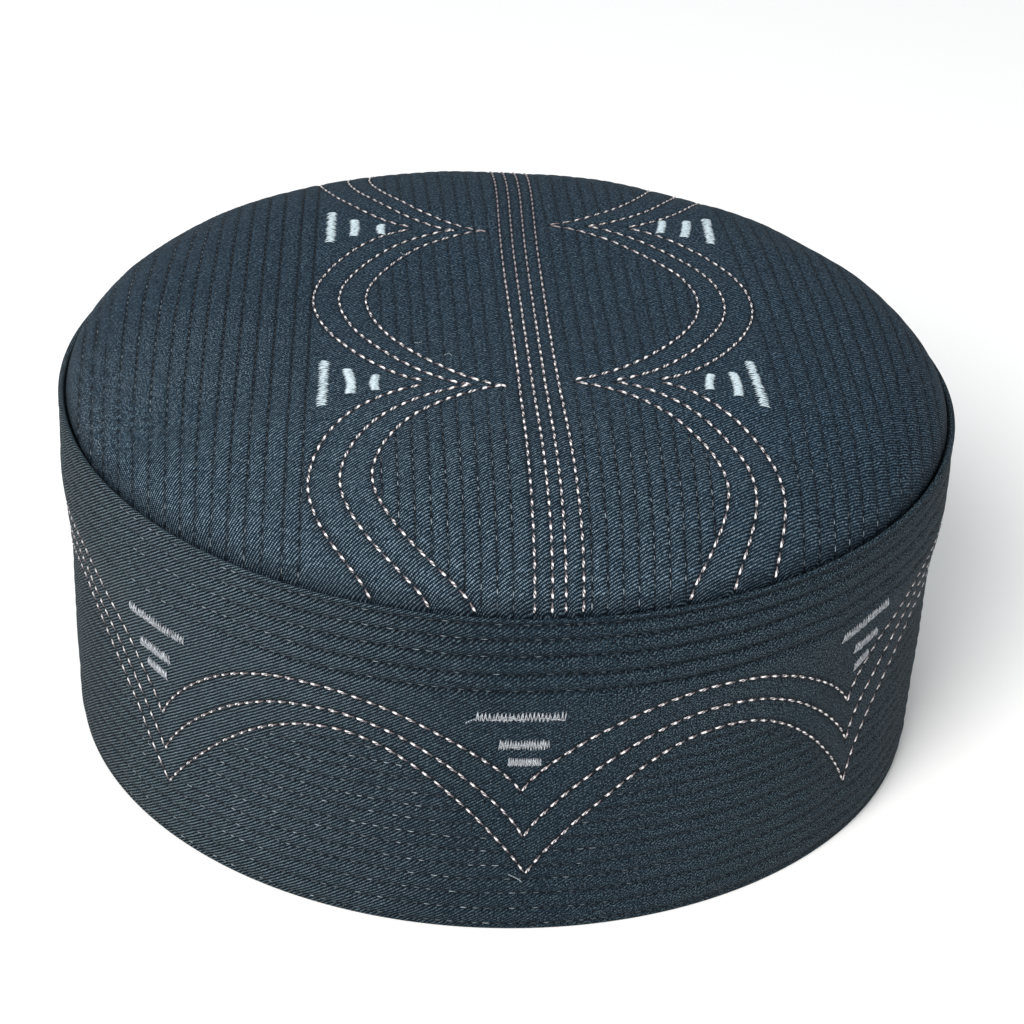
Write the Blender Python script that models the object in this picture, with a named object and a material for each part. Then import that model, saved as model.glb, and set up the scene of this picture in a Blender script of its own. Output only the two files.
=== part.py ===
# Kufi: a round cap with a quilted dome crown on an upright stitched band.
# Metres, +Z up. The origin is at the middle of the bottom edge, on the surface
# the cap rests on. The front of the cap faces -Y.
import math

import bmesh
import bpy

# Driving dimensions
BAND_HEIGHT = 0.0786
BAND_WALL = 0.0024
CROWN_WALL = 0.0020
SEAM_GAP = 0.0003
SIDES = 72

# Outer radius of the band at shares of its height: it swells a little above
# the bottom edge, draws in at the middle and flares to the top rim.
BAND_OUTLINE = [
    {"height_share": 0.00, "radius": 0.0945},
    {"height_share": 0.06, "radius": 0.0951},
    {"height_share": 0.20, "radius": 0.0956},
    {"height_share": 0.40, "radius": 0.0959},
    {"height_share": 0.60, "radius": 0.0966},
    {"height_share": 0.80, "radius": 0.0985},
    {"height_share": 1.00, "radius": 0.0988},
]

# The five stitched rows below the rim pull the cloth in, with ribs between.
ROW_DROPS = [0.0017, 0.0055, 0.0095, 0.0140, 0.0180]
ROW_DEPTH = 0.0005
LOWEST_RIB = 0.0040

# Heights, as shares of the band's, of its plain rings below the stitched rows
OUTER_RING_SHARES = [0.62, 0.48, 0.34, 0.20, 0.10, 0.04]
INNER_RING_SHARES = [0.10, 0.25, 0.40, 0.55, 0.70, 0.80, 0.90]

# Folded rim at the top of the band: its middle and its two shoulders are
# shares of the lip's width in from the outside.
RIM_LIP = 0.0013
RIM_ROUND = 0.0006
RIM_MIDDLE = 0.5
RIM_OUTER_SHOULDER = 0.1
RIM_INNER_SHOULDER = 0.9
SEAM_DROP = 0.0022

# Crown dome: height = CROWN_RISE * (1 - share ** DOME_POWER) ** (1 / DOME_ROOT)
CROWN_RADIUS = 0.0970
CROWN_EDGE_DROP = 0.0012
CROWN_RISE = 0.0221
DOME_POWER = 4.5
DOME_ROOT = 1.77
DOME_RINGS = 12
DOME_EDGE_SHARES = [0.985, 0.996]
TURN_IN_DEPTH = 0.0090

# Bottom edge fold
EDGE_ROUND = 0.0005

# The plan is nearly round: softly oval along one slanting line and a little
# three-cornered, as a hand-sewn cap is.
OVAL_TOP = 0.0046
OVAL_BOTTOM = 0.0016
OVAL_TOWARDS = math.radians(-49.9)
CORNERED = 0.0057
CORNERED_TOWARDS = math.radians(9.9)

# Mesh settings: points closer than this are one, and edges sharper stay sharp
MERGE_DISTANCE = 0.00001
SHARP_ANGLE = math.radians(50)

CROWN_COLOUR = (0.040, 0.064, 0.085, 1.0)
BAND_COLOUR = (0.036, 0.053, 0.066, 1.0)
CLOTH_ROUGHNESS = 0.75


def clear_scene():
    for old in list(bpy.data.objects):
        bpy.data.objects.remove(old, do_unlink=True)


def fabric_material(name, colour):
    material = bpy.data.materials.new(name)
    material.use_nodes = True
    shader = material.node_tree.nodes["Principled BSDF"]
    shader.inputs["Base Color"].default_value = colour
    shader.inputs["Roughness"].default_value = CLOTH_ROUGHNESS
    shader.inputs["Metallic"].default_value = 0.0
    return material


def outline_radius(share):
    """Smooth curve through the rows of BAND_OUTLINE."""
    rows = BAND_OUTLINE
    index = 0
    while index < len(rows) - 2 and share > rows[index + 1]["height_share"]:
        index += 1
    low, high = rows[index], rows[index + 1]

    def slope_at(row_index):
        before = rows[max(row_index - 1, 0)]
        after = rows[min(row_index + 1, len(rows) - 1)]
        rise = after["radius"] - before["radius"]
        return rise / (after["height_share"] - before["height_share"])

    span = high["height_share"] - low["height_share"]
    t = min(max((share - low["height_share"]) / span, 0.0), 1.0)
    start_pull = (2 * t**3 - 3 * t**2 + 1) * low["radius"] + (t**3 - 2 * t**2 + t) * span * slope_at(index)
    end_pull = (3 * t**2 - 2 * t**3) * high["radius"] + (t**3 - t**2) * span * slope_at(index + 1)
    return start_pull + end_pull


def plan_factor(angle, height):
    share = min(max(height / BAND_HEIGHT, 0.0), 1.0)
    oval = OVAL_BOTTOM + (OVAL_TOP - OVAL_BOTTOM) * share
    swell = oval * math.cos(2 * (angle - OVAL_TOWARDS))
    return 1 + swell + CORNERED * math.cos(3 * (angle - CORNERED_TOWARDS))


def turned_solid(name, profile, material):
    """Spin a closed (radius, height) outline round Z, then give it the soft plan.

    The outline runs down the outer side first, so the faces point out.
    """
    mesh = bmesh.new()
    points = [mesh.verts.new((radius, 0.0, height)) for radius, height in profile]
    on_axis = profile[0][0] < MERGE_DISTANCE
    pairs = list(zip(points, points[1:]))
    if not on_axis:
        pairs.append((points[-1], points[0]))
    edges = [mesh.edges.new(pair) for pair in pairs]
    bmesh.ops.spin(
        mesh,
        geom=points + edges,
        cent=(0, 0, 0),
        axis=(0, 0, 1),
        dvec=(0, 0, 0),
        angle=2 * math.pi,
        steps=SIDES,
        use_merge=True,
    )
    bmesh.ops.remove_doubles(mesh, verts=mesh.verts, dist=MERGE_DISTANCE)
    bmesh.ops.recalc_face_normals(mesh, faces=mesh.faces)
    for vert in mesh.verts:
        factor = plan_factor(math.atan2(vert.co.y, vert.co.x), vert.co.z)
        vert.co.x *= factor
        vert.co.y *= factor
    data = bpy.data.meshes.new(name)
    mesh.to_mesh(data)
    mesh.free()
    data.shade_smooth()
    data.set_sharp_from_angle(angle=SHARP_ANGLE)
    data.materials.append(material)
    return bpy.data.objects.new(name, data)


def band_profile():
    rim_top = BAND_HEIGHT
    rim_radius = outline_radius(1.0)
    outline = [(rim_radius - RIM_MIDDLE * RIM_LIP, rim_top)]
    outline.append((rim_radius - RIM_OUTER_SHOULDER * RIM_LIP, rim_top - RIM_ROUND))

    # Each row is a valley with a crest half way to the next one.
    for number, drop in enumerate(ROW_DROPS):
        height = rim_top - drop
        share = height / BAND_HEIGHT
        outline.append((outline_radius(share) - ROW_DEPTH, height))
        last = number == len(ROW_DROPS) - 1
        next_drop = drop + LOWEST_RIB if last else ROW_DROPS[number + 1]
        middle = rim_top - 0.5 * (drop + next_drop)
        outline.append((outline_radius(middle / BAND_HEIGHT), middle))

    for share in OUTER_RING_SHARES:
        outline.append((outline_radius(share), share * BAND_HEIGHT))
    outline.append((outline_radius(0.0), EDGE_ROUND))
    outline.append((outline_radius(0.0) - EDGE_ROUND, 0.0))

    inner = [(outline_radius(0.0) - BAND_WALL + EDGE_ROUND, 0.0)]
    inner.append((outline_radius(0.0) - BAND_WALL, EDGE_ROUND))
    for share in INNER_RING_SHARES:
        inner.append((outline_radius(share) - BAND_WALL, share * BAND_HEIGHT))
    seat = rim_top - SEAM_DROP - (BAND_WALL - RIM_LIP)
    inner.append((rim_radius - BAND_WALL, seat))
    inner.append((rim_radius - RIM_LIP, rim_top - SEAM_DROP + RIM_ROUND))
    inner.append((rim_radius - RIM_INNER_SHOULDER * RIM_LIP, rim_top - RIM_ROUND))
    return outline + inner


def dome_height(share):
    rise = (1 - min(share, 1.0) ** DOME_POWER) ** (1 / DOME_ROOT)
    return BAND_HEIGHT - CROWN_EDGE_DROP + CROWN_RISE * rise


def crown_profile():
    # Rings crowd towards the edge, where the dome turns down steeply.
    shares = [math.sin(0.5 * math.pi * ring / DOME_RINGS) for ring in range(DOME_RINGS - 1)]
    shares += DOME_EDGE_SHARES
    dome = [(CROWN_RADIUS * share, dome_height(share)) for share in shares]

    # Below the seam the cloth turns in and hangs inside the band.
    turned_radius = outline_radius(1.0) - BAND_WALL - SEAM_GAP
    seam_top = BAND_HEIGHT - CROWN_EDGE_DROP
    turned_top = BAND_HEIGHT - SEAM_DROP - (BAND_WALL - RIM_LIP) - 2 * SEAM_GAP
    turned_bottom = turned_top - TURN_IN_DEPTH
    low_share = turned_bottom / BAND_HEIGHT
    dome.append((CROWN_RADIUS, seam_top))
    dome.append((turned_radius, turned_top))
    dome.append((outline_radius(low_share) - BAND_WALL - SEAM_GAP, turned_bottom))

    # The inside follows the outside one wall lower and further in.
    inside = [(dome[-1][0] - CROWN_WALL, turned_bottom)]
    inside.append((turned_radius - CROWN_WALL, turned_top))
    for before, here, after in reversed(list(zip(dome[:-4], dome[1:-3], dome[2:-2]))):
        run, fall = after[0] - before[0], before[1] - after[1]
        length = math.hypot(run, fall)
        inside.append((here[0] - CROWN_WALL * fall / length, here[1] - CROWN_WALL * run / length))
    inside.append((0.0, dome[0][1] - CROWN_WALL))
    return dome + inside


def build():
    clear_scene()
    kufi = bpy.data.collections.new("kufi")
    bpy.context.scene.collection.children.link(kufi)
    band_cloth = fabric_material("band_cloth", BAND_COLOUR)
    crown_cloth = fabric_material("crown_cloth", CROWN_COLOUR)
    kufi.objects.link(turned_solid("side_band", band_profile(), band_cloth))
    kufi.objects.link(turned_solid("crown", crown_profile(), crown_cloth))


build()
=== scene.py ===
# Kufi: a quilted twill crown on an upright stitched twill band, with pale pattern thread
import math
import random

import bpy
import numpy as np
from mathutils import Matrix, kdtree


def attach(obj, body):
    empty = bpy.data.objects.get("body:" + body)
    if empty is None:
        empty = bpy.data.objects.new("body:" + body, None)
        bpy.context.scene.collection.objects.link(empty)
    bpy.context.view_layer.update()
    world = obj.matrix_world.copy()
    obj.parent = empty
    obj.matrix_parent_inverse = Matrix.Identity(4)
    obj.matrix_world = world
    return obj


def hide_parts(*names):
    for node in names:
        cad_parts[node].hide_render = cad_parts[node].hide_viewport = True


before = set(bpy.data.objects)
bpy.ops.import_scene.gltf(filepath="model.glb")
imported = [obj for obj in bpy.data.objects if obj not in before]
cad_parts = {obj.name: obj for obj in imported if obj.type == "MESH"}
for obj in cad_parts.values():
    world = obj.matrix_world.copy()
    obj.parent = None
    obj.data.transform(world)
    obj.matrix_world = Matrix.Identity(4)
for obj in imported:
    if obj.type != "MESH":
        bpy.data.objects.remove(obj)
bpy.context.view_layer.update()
mm = 0.001
print("frame loaded")

# The cap's form in millimetres and degrees, as the frame's solids have it
capForm = {
    "bandHeight": 78.6,
    "bandWall": 2.4,
    "crownWall": 2.0,
    "outlineShares": [0.0, 0.06, 0.20, 0.40, 0.60, 0.80, 1.0],
    "outlineRadii": [94.5, 95.1, 95.6, 95.9, 96.6, 98.5, 98.8],
    "edgeRound": 0.5,
    "rimLip": 1.3,
    "seamDrop": 2.2,
    "seamGap": 0.3,
    "crownRadius": 97.0,
    "crownEdgeDrop": 1.2,
    "crownRise": 22.1,
    "domePower": 4.5,
    "domeRoot": 1.77,
    "turnInDepth": 9.0,
    "ovalTop": 0.0046,
    "ovalBottom": 0.0016,
    "ovalTowards": -49.9,
    "cornered": 0.0057,
    "corneredTowards": 9.9,
}


def bandRadius(height):
    # smooth curve through the outline's rows
    share = np.clip(np.asarray(height, float) / capForm["bandHeight"], 0, 1)
    places, radii = np.array(capForm["outlineShares"]), np.array(capForm["outlineRadii"])
    rows = np.arange(len(places))
    ahead, behind = np.minimum(rows + 1, rows[-1]), np.maximum(rows - 1, 0)
    slopes = (radii[ahead] - radii[behind]) / (places[ahead] - places[behind])
    low = np.clip(np.searchsorted(places, share, side="right") - 1, 0, rows[-1] - 1)
    span = places[low + 1] - places[low]
    t = (share - places[low]) / span
    startPart = (2 * t**3 - 3 * t**2 + 1) * radii[low] + (t**3 - 2 * t**2 + t) * span * slopes[low]
    endPart = (3 * t**2 - 2 * t**3) * radii[low + 1] + (t**3 - t**2) * span * slopes[low + 1]
    return startPart + endPart


def planFactor(angle, height):
    share = np.clip(np.asarray(height, float) / capForm["bandHeight"], 0, 1)
    oval = capForm["ovalBottom"] + (capForm["ovalTop"] - capForm["ovalBottom"]) * share
    swell = oval * np.cos(2 * (angle - math.radians(capForm["ovalTowards"])))
    return 1 + swell + capForm["cornered"] * np.cos(3 * (angle - math.radians(capForm["corneredTowards"])))


def domeHeight(share):
    rise = (1 - np.clip(share, 0, 1) ** capForm["domePower"]) ** (1 / capForm["domeRoot"])
    return capForm["bandHeight"] - capForm["crownEdgeDrop"] + capForm["crownRise"] * rise


def domeShare(x, y):
    angle = np.arctan2(y, x)
    return np.hypot(x, y) / (capForm["crownRadius"] * planFactor(angle, capForm["bandHeight"]))


def softWaves(points, size, seed):
    # smooth unevenness of about -1 to 1, with hollows and swells some size millimetres wide
    pick = random.Random(seed)
    total = np.zeros(len(points))
    waves, sizes = 9, (0.7, 1.6)
    for _ in range(waves):
        way = np.array([pick.gauss(0, 1) for _ in range(3)])
        way *= 2 * math.pi / (size * pick.uniform(*sizes) * np.linalg.norm(way))
        total += np.sin(points @ way + pick.uniform(0, 2 * math.pi))
    return total * math.sqrt(2 / waves) / 2


def ease(low, high, value):
    t = np.clip((value - low) / (high - low), 0, 1)
    return t * t * (3 - 2 * t)


def measuredAlong(points, step):
    # the same line with points every step of its length
    lengths = np.concatenate([[0], np.cumsum(np.linalg.norm(np.diff(points, axis=0), axis=1))])
    places = np.arange(0, lengths[-1], step)
    return np.stack([np.interp(places, lengths, points[:, axis]) for axis in range(points.shape[1])], 1)


# Crown pattern in plan: x runs across the cap, s from the front to the back, and sides are -1 and 1.
# A pair is where a change starts and where it is full, in millimetres or shares of the dome's radius.
crownPattern = {
    "middle": 4.0,
    "centreLines": [-0.35, 2.3, 5.0, 7.7],
    "centreStitch": 2.9,
    "centreDrift": 1.1,
    "centreSpread": 0.85,
    "driftFront": (-20, -98),
    "driftBack": (20, 70),
    "lobes": [
        {"name": "back", "middle": {-1: 73.0, 1: 75.6},
         "frontHalf": {-1: 37.4, 1: 37.8}, "backHalf": {-1: 37.4, 1: 37.8}},
        {"name": "centre", "middle": {-1: -1.6, 1: 0.3},
         "frontHalf": {-1: 37.5, 1: 37.8}, "backHalf": {-1: 37.5, 1: 37.8}},
        {"name": "front", "middle": {-1: -70.5, 1: -71.8},
         "frontHalf": {-1: 29.0, 1: 34.2}, "backHalf": {-1: 31.4, 1: 34.0}},
    ],
    "arcs": [
        {"name": "inner", "frontPull": {-1: 1.015, 1: 0.975}, "cusp": {-1: -2.9, 1: 11.4},
         "reach": {"back": {-1: -28.5, 1: 38.0}, "centre": {-1: -31.4, 1: 41.4},
                   "front": {-1: -31.9, 1: 40.3}}},
        {"name": "middle", "frontPull": {-1: 1.005, 1: 0.985}, "cusp": {-1: -10.0, 1: 19.9},
         "reach": {"back": {-1: -33.4, 1: 44.5}, "centre": {-1: -37.2, 1: 47.2},
                   "front": {-1: -38.4, 1: 46.1}}},
        {"name": "outer", "frontPull": {-1: 0.95, 1: 0.965}, "cusp": {-1: -20.4, 1: 29.5},
         "reach": {"back": {-1: -39.8, 1: 50.3}, "centre": {-1: -42.8, 1: 53.3},
                   "front": {-1: -44.8, 1: 52.1}}},
    ],
    "cuspPower": 1.38,
    "reachPower": 1.80,
    "arcStitch": 3.0,
    "seamShare": 0.9995,
    "lineDip": 0.30,
    "lineDipWidth": 0.75,
    "lineShade": 1.4,
    "lineShadeWidth": 0.60,
}

# Quilted rows run front to back; each row is a sheet place x that drifts a little in plan
crownQuilt = {
    "innerStart": {-1: -2.65, 1: 10.9},
    "innerPitch": {-1: -3.2, 1: 3.19},
    "innerEnd": {-1: -30.4, 1: 40.4},
    "outerRows": {
        -1: [-43.5, -46.9, -51.0, -54.6, -58.3, -61.9, -65.8, -69.4, -72.9, -76.6, -80.4, -83.9, -87.4,
             -90.1, -92.9],
        1: [54.0, 57.6, 61.3, 64.8, 68.3, 71.9, 75.6, 79.4, 83.0, 86.6, 89.9, 92.8],
    },
    "outerTilt": {-1: 2.1, 1: -1.5},
    "tiltFade": (90, 74),
    "outerBow": {-1: 1.65, 1: -1.8},
    "bowPlaces": {-1: (58, 78), 1: (72, 88)},
    "slantFrom": -10.0,
    "slantOver": 50.0,
    "slantFade": (38, 47),
    "frontShift": {-1: -1.7, 1: 0.4},
    "shiftDepth": (-33, -44),
    "shiftInner": (0.5, 6.4),
    "shiftOuter": (44, 36),
    "innerEdge": (1.0, 0.93),
    "outerEdge": (-2.2, -0.6),
    "cuspRoom": -1.6,
    "stitch": 2.7,
    "ribHeight": 0.36,
    "ribRoundness": 0.6,
    "creaseShadeWidth": 0.36,
    "seamFlat": {"share": (0.955, 0.995), "by": 0.7},
    "backFlat": {"share": (0.62, 0.80), "depth": (5, 40), "by": 0.65},
    "seamShade": {"share": (0.984, 1.0), "by": 0.8},
    "creaseShadeLeft": (-25, -60),
    "creaseShadeFront": (-35, -75),
    "creaseShadeRight": (50, 80),
}


def innerQuiltLines(side):
    start, end, pitch = (crownQuilt[key][side] for key in ("innerStart", "innerEnd", "innerPitch"))
    return np.arange(start, end, pitch)


def outerQuiltLines(side):
    return np.array(crownQuilt["outerRows"][side])


def sheetDrift(x, s):
    # how far the rows stand from their sheet place: the outer ones slant and bow in, the inner ones step
    quilt, reach, middle = crownQuilt, np.abs(x), crownPattern["middle"]
    left, away, past = x < middle, np.abs(x - middle), (s - quilt["slantFrom"]) / quilt["slantOver"]
    tilt, shift = (np.where(left, quilt[key][-1], quilt[key][1]) for key in ("outerTilt", "frontShift"))
    bows = [quilt["outerBow"][side] * ease(*quilt["bowPlaces"][side], reach) for side in (-1, 1)]
    slant = tilt * past * ease(*quilt["tiltFade"], reach) + np.where(left, *bows) * past**2
    step = shift * ease(*quilt["shiftDepth"], s)
    step = step * ease(*quilt["shiftInner"], away) * ease(*quilt["shiftOuter"], away)
    return slant * ease(*quilt["slantFade"], away) + step


def toPlan(x, s):
    return x + sheetDrift(x, s)


def toSheet(x, s):
    held = np.array(x, float)
    for _ in range(4):
        held = x - sheetDrift(held, s)
    return held


def lobeShare(s, arc, lobe, side):
    # 0 at the lobe's middle, 1 at its cusps
    past = s - lobe["middle"][side]
    frontHalf = lobe["frontHalf"][side] * arc["frontPull"][side]
    return np.where(past > 0, past / lobe["backHalf"][side], -past / frontHalf)


def lobeField(x, s, arc, lobe, side):
    # in sheet places: below 1 inside this arc's scallop, 1 on its line
    cusp, reach = arc["cusp"][side], arc["reach"][lobe["name"]][side]
    across = np.clip((toPlan(x, s) - cusp) / (reach - cusp), 0, None)
    along = lobeShare(s, arc, lobe, side)
    return across ** crownPattern["cuspPower"] + along ** crownPattern["reachPower"]


def arcLine(arc, lobe, side):
    # the arc from one cusp to the next as (x, s) places on the sheet
    turn = np.linspace(-math.pi / 2, math.pi / 2, 361)
    cusp, reach = arc["cusp"][side], arc["reach"][lobe["name"]][side]
    x = cusp + (reach - cusp) * np.clip(np.cos(turn), 0, 1) ** (2 / crownPattern["cuspPower"])
    along = np.sign(np.sin(turn)) * np.abs(np.sin(turn)) ** (2 / crownPattern["reachPower"])
    half = np.where(along > 0, lobe["backHalf"][side], lobe["frontHalf"][side] * arc["frontPull"][side])
    s = lobe["middle"][side] + half * along
    return np.stack([toSheet(x, s), s], 1)


def centreLine(place):
    s = np.linspace(-100, 100, 401)
    middle = 0.5 * (crownPattern["centreLines"][0] + crownPattern["centreLines"][-1])
    outward = np.sign(place - middle) * (abs(place - middle) > 2) * crownPattern["centreSpread"]
    drift = crownPattern["centreDrift"]
    x = place + ease(*crownPattern["driftFront"], s) * (drift + outward)
    x = x + ease(*crownPattern["driftBack"], s) * drift
    return np.stack([toSheet(x, s), s], 1)


def insideSeam(line):
    # the part of a line on the dome, ending right at the seam
    fine = measuredAlong(line, 0.02)
    return fine[domeShare(toPlan(fine[:, 0], fine[:, 1]), fine[:, 1]) < crownPattern["seamShare"]]


def crownPatternLines():
    lines = []
    for place in crownPattern["centreLines"]:
        lines.append({"kind": "centre", "points": insideSeam(centreLine(place))})
    for lobe in crownPattern["lobes"]:
        for arc in crownPattern["arcs"]:
            for side in (-1, 1):
                lines.append({"kind": "arc", "points": insideSeam(arcLine(arc, lobe, side))})
    return lines


def lineTree(lines):
    dense = np.concatenate([measuredAlong(line, 0.3) for line in lines])
    tree = kdtree.KDTree(len(dense))
    for index, spot in enumerate(dense):
        tree.insert((spot[0], spot[1], 0), index)
    tree.balance()
    return tree


def distanceTo(tree, places):
    return np.array([tree.find((place[0], place[1], 0))[2] for place in places])


patternLines = crownPatternLines()
crownTree = lineTree([line["points"] for line in patternLines])


def nearestRow(places, rows):
    # distance to the nearest row, and that row's number
    rows = np.sort(rows)
    after = np.clip(np.searchsorted(rows, places), 1, len(rows) - 1)
    number = np.where(np.abs(places - rows[after - 1]) < np.abs(rows[after] - places), after - 1, after)
    return np.abs(places - rows[number]), number


def dipShape(away, width):
    # a stitched line's dip across it, 1 at the line
    return np.exp(-((away / width) ** 1.4))


def crownZones(x, s):
    # how fully quilted each place is: inside the inner arcs, or outside the outer ones
    innerArc = crownPattern["arcs"][0]
    inside, outside = np.zeros(len(x)), np.zeros(len(x))
    for side in (-1, 1):
        for lobe in crownPattern["lobes"]:
            field = lobeField(x, s, innerArc, lobe, side)
            past = (x - innerArc["cusp"][side]) * side
            held = (lobeShare(s, innerArc, lobe, side) < 1) & (past > crownQuilt["cuspRoom"])
            inside = np.maximum(inside, ease(*crownQuilt["innerEdge"], field) * held)
        start = crownQuilt["outerRows"][side][0]
        outside = np.maximum(outside, ease(*crownQuilt["outerEdge"], (x - start) * side))
    return inside, outside


def crownRelief(x, s):
    # height of the cloth above the plain dome, and how strongly painted shade darkens each place in the
    # stitched creases
    quilt, pattern = crownQuilt, crownPattern
    inside, outside = crownZones(x, s)
    ribs, paintedShade = np.zeros(len(x)), np.zeros(len(x))
    for side in (-1, 1):
        here = ((x - pattern["middle"]) * side) >= 0
        for zone, rows in ((inside, innerQuiltLines(side)), (outside, outerQuiltLines(side))):
            away, number = nearestRow(x, rows)
            pitch = np.abs(np.gradient(np.sort(rows)))[number]
            share = np.clip(away / (0.5 * pitch), 0, 1)
            rounded = (1 - (1 - share) ** 2) ** quilt["ribRoundness"]
            ribs += here * zone * quilt["ribHeight"] * (rounded - 1)
            paintedShade = np.maximum(paintedShade, here * zone * np.exp(-((away / quilt["creaseShadeWidth"]) ** 2)))
    edge = domeShare(toPlan(x, s), s)
    seam, back, shade = quilt["seamFlat"], quilt["backFlat"], quilt["seamShade"]
    ribs *= 1 - seam["by"] * ease(*seam["share"], edge)
    ribs *= 1 - back["by"] * ease(*back["share"], edge) * ease(*back["depth"], s)
    # the painted crease shade is strongest at the left and the front
    deep = np.maximum(ease(*quilt["creaseShadeLeft"], x), ease(*quilt["creaseShadeFront"], s))
    paintedShade *= 0.5 + 0.5 * np.maximum(deep, 0.5 * ease(*quilt["creaseShadeRight"], x))
    # painted shade in the groove where the crown meets the band
    paintedShade = np.maximum(paintedShade, shade["by"] * ease(*shade["share"], edge))
    near = distanceTo(crownTree, np.stack([x, s], 1))
    # painted shade along each pale pattern line
    line = np.exp(-((near / pattern["lineShadeWidth"]) ** 2))
    relief = ribs - pattern["lineDip"] * dipShape(near, pattern["lineDipWidth"])
    return relief, np.maximum(paintedShade, pattern["lineShade"] * line)


def crownBase(x, y):
    # plain dome under each plan place, with the way it faces
    share = np.clip(domeShare(x, y), 0, 1)
    angle = np.arctan2(y, x)
    power, root = capForm["domePower"], capForm["domeRoot"]
    held = np.clip(share, 0.001, 0.9985)  # the dome stands upright at its very edge
    slope = capForm["crownRise"] / root * (1 - held**power) ** (1 / root - 1) * power * held ** (power - 1)
    slope /= capForm["crownRadius"]
    spots = np.stack([x, y, domeHeight(share)], 1)
    facing = np.stack([slope * np.cos(angle), slope * np.sin(angle), np.ones(len(x))], 1)
    return spots, facing / np.linalg.norm(facing, axis=1)[:, None]


def domeArcTable():
    # length along the cloth from the dome's middle out to each share of its radius
    shares = np.concatenate([np.linspace(0, 0.95, 200, endpoint=False), 1 - np.geomspace(0.05, 1e-6, 300)])
    heights, radii = domeHeight(shares), shares * capForm["crownRadius"]
    steps = np.hypot(np.diff(radii), np.diff(heights))
    return shares, np.concatenate([[0], np.cumsum(steps)])


# Soft unevenness: how high, and how wide each swell, in millimetres
crownSwells = {"crown wide": (0.30, 34), "crown fine": (0.07, 9)}


def crownUnevenness(spots):
    return sum(height * softWaves(spots, size, seed) for seed, (height, size) in crownSwells.items())


def onCrown(x, s):
    # spots on the finished cloth, and the way the dome faces there
    spots, facing = crownBase(toPlan(x, s), s)
    relief, _ = crownRelief(x, s)
    held = ease(1.0, 0.93, domeShare(spots[:, 0], spots[:, 1]))  # the seam stays even
    rise = relief + crownUnevenness(spots) * held
    return spots + facing * rise[:, None], facing


# Band pattern: azimuth in degrees from the front towards +X, heights in millimetres
bandPattern = {
    "shownVs": [
        {"upper": (-51.2, 30.6), "middle": (-50.6, 22.3), "lower": (-49.9, 14.6)},
        {"upper": (-0.5, 35.4), "middle": (0.0, 24.0), "lower": (0.5, 14.5)},
        {"upper": (47.6, 36.9), "middle": (48.3, 26.4), "lower": (48.8, 15.2)},
    ],
    "hiddenCount": 4,
    "hiddenHeights": {"upper": 34.0, "middle": 24.2, "lower": 14.9},
    "plainArch": {"upper": (56.0, 0.76, 0.985), "middle": (50.2, 0.76, 1.03), "lower": (45.8, 0.875, 1.05)},
    "frontArch": {"upper": (57.0, 0.75, 1.01), "middle": (51.0, 0.76, 1.033), "lower": (45.5, 0.81, 1.042)},
    "leftArch": {"upper": (55.8, 0.80, 1.0), "middle": (50.4, 0.86, 1.0), "lower": (46.6, 0.92, 1.0)},
    "rightArch": {"upper": (59.0, 0.60, 1.0), "middle": (54.8, 0.61, 1.0), "lower": (49.2, 0.63, 1.0)},
    "stitch": 3.0,
    "lineDip": 0.27,
    "lineDipWidth": 0.7,
    "lineShade": 1.4,
    "lineShadeWidth": 0.60,
}

# Stitched rows round the band by height; pairs of degrees are where a change starts and where it is full
bandRows = {
    "top": [76.35, 72.85, 68.95, 64.7, 60.6],
    "around": [1.3, 5.4, 9.4, 13.1],
    "underArches": [16.6, 20.3, 23.5, 27.0, 30.2, 33.3, 36.7, 39.6, 42.7],
    "topDepth": 1.0,
    "topReach": 2.0,
    "ribRoundness": 0.75,
    "sideShare": 0.42,
    "frontToSide": (52, 16),
    "backShare": 0.30,
    "sideToBack": (95, 130),
    "lowDepth": 0.38,
    "lowWidth": 0.85,
    "creaseShadeWidth": 0.45,
    "underWidth": 1.3,
    "underShade": 0.5,
    "lowRowShade": 0.8,
    "archClearance": 1.6,
    "archFade": (-0.6, 0.8),
    "topStitch": 2.7,
    "lowStitch": 2.5,
}


def allVs():
    shown = bandPattern["shownVs"]
    start, end = shown[-1]["middle"][0], shown[0]["middle"][0] + 360
    gap = (end - start) / (bandPattern["hiddenCount"] + 1)
    hidden = [
        {line: (start + gap * (number + 1), height) for line, height in bandPattern["hiddenHeights"].items()}
        for number in range(bandPattern["hiddenCount"])
    ]
    return shown + hidden


def allArches():
    # each arch with the V at its left and right; the ones beside the shown Vs have their own rise
    vs = allVs()
    rises = ["plainArch"] * len(vs)
    rises[1], rises[len(bandPattern["shownVs"]) - 1], rises[-1] = "frontArch", "rightArch", "leftArch"
    return [
        {"left": vs[number], "right": vs[(number + 1) % len(vs)], "rise": bandPattern[rises[number]]}
        for number in range(len(vs))
    ]


def archHeight(arch, line, t):
    tip = arch["left"][line][1] + (arch["right"][line][1] - arch["left"][line][1]) * t
    apex, swell, lean = arch["rise"][line]
    return tip + (apex - tip) * np.clip(np.sin(math.pi * np.clip(t, 0, 1) ** lean), 0, 1) ** swell


def scallopHeight(azimuth, line):
    # height of the upper, middle or lower scallop line all round the band
    arches = allArches()
    first = arches[0]["left"][line][0]
    wrapped = (np.asarray(azimuth, float) - first) % 360 + first
    height = np.zeros(len(wrapped))
    for arch in arches:
        start = (arch["left"][line][0] - first) % 360 + first
        end = (arch["right"][line][0] - first - 0.001) % 360 + first + 0.001
        t = (wrapped - start) / (end - start)
        height = np.where((t >= 0) & (t < 1), archHeight(arch, line, t), height)
    return height


bandReach = 96.6  # radius that band lengths along the cloth are measured at


def aroundToDegrees(around):
    return np.degrees(np.asarray(around) / bandReach)


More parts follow.
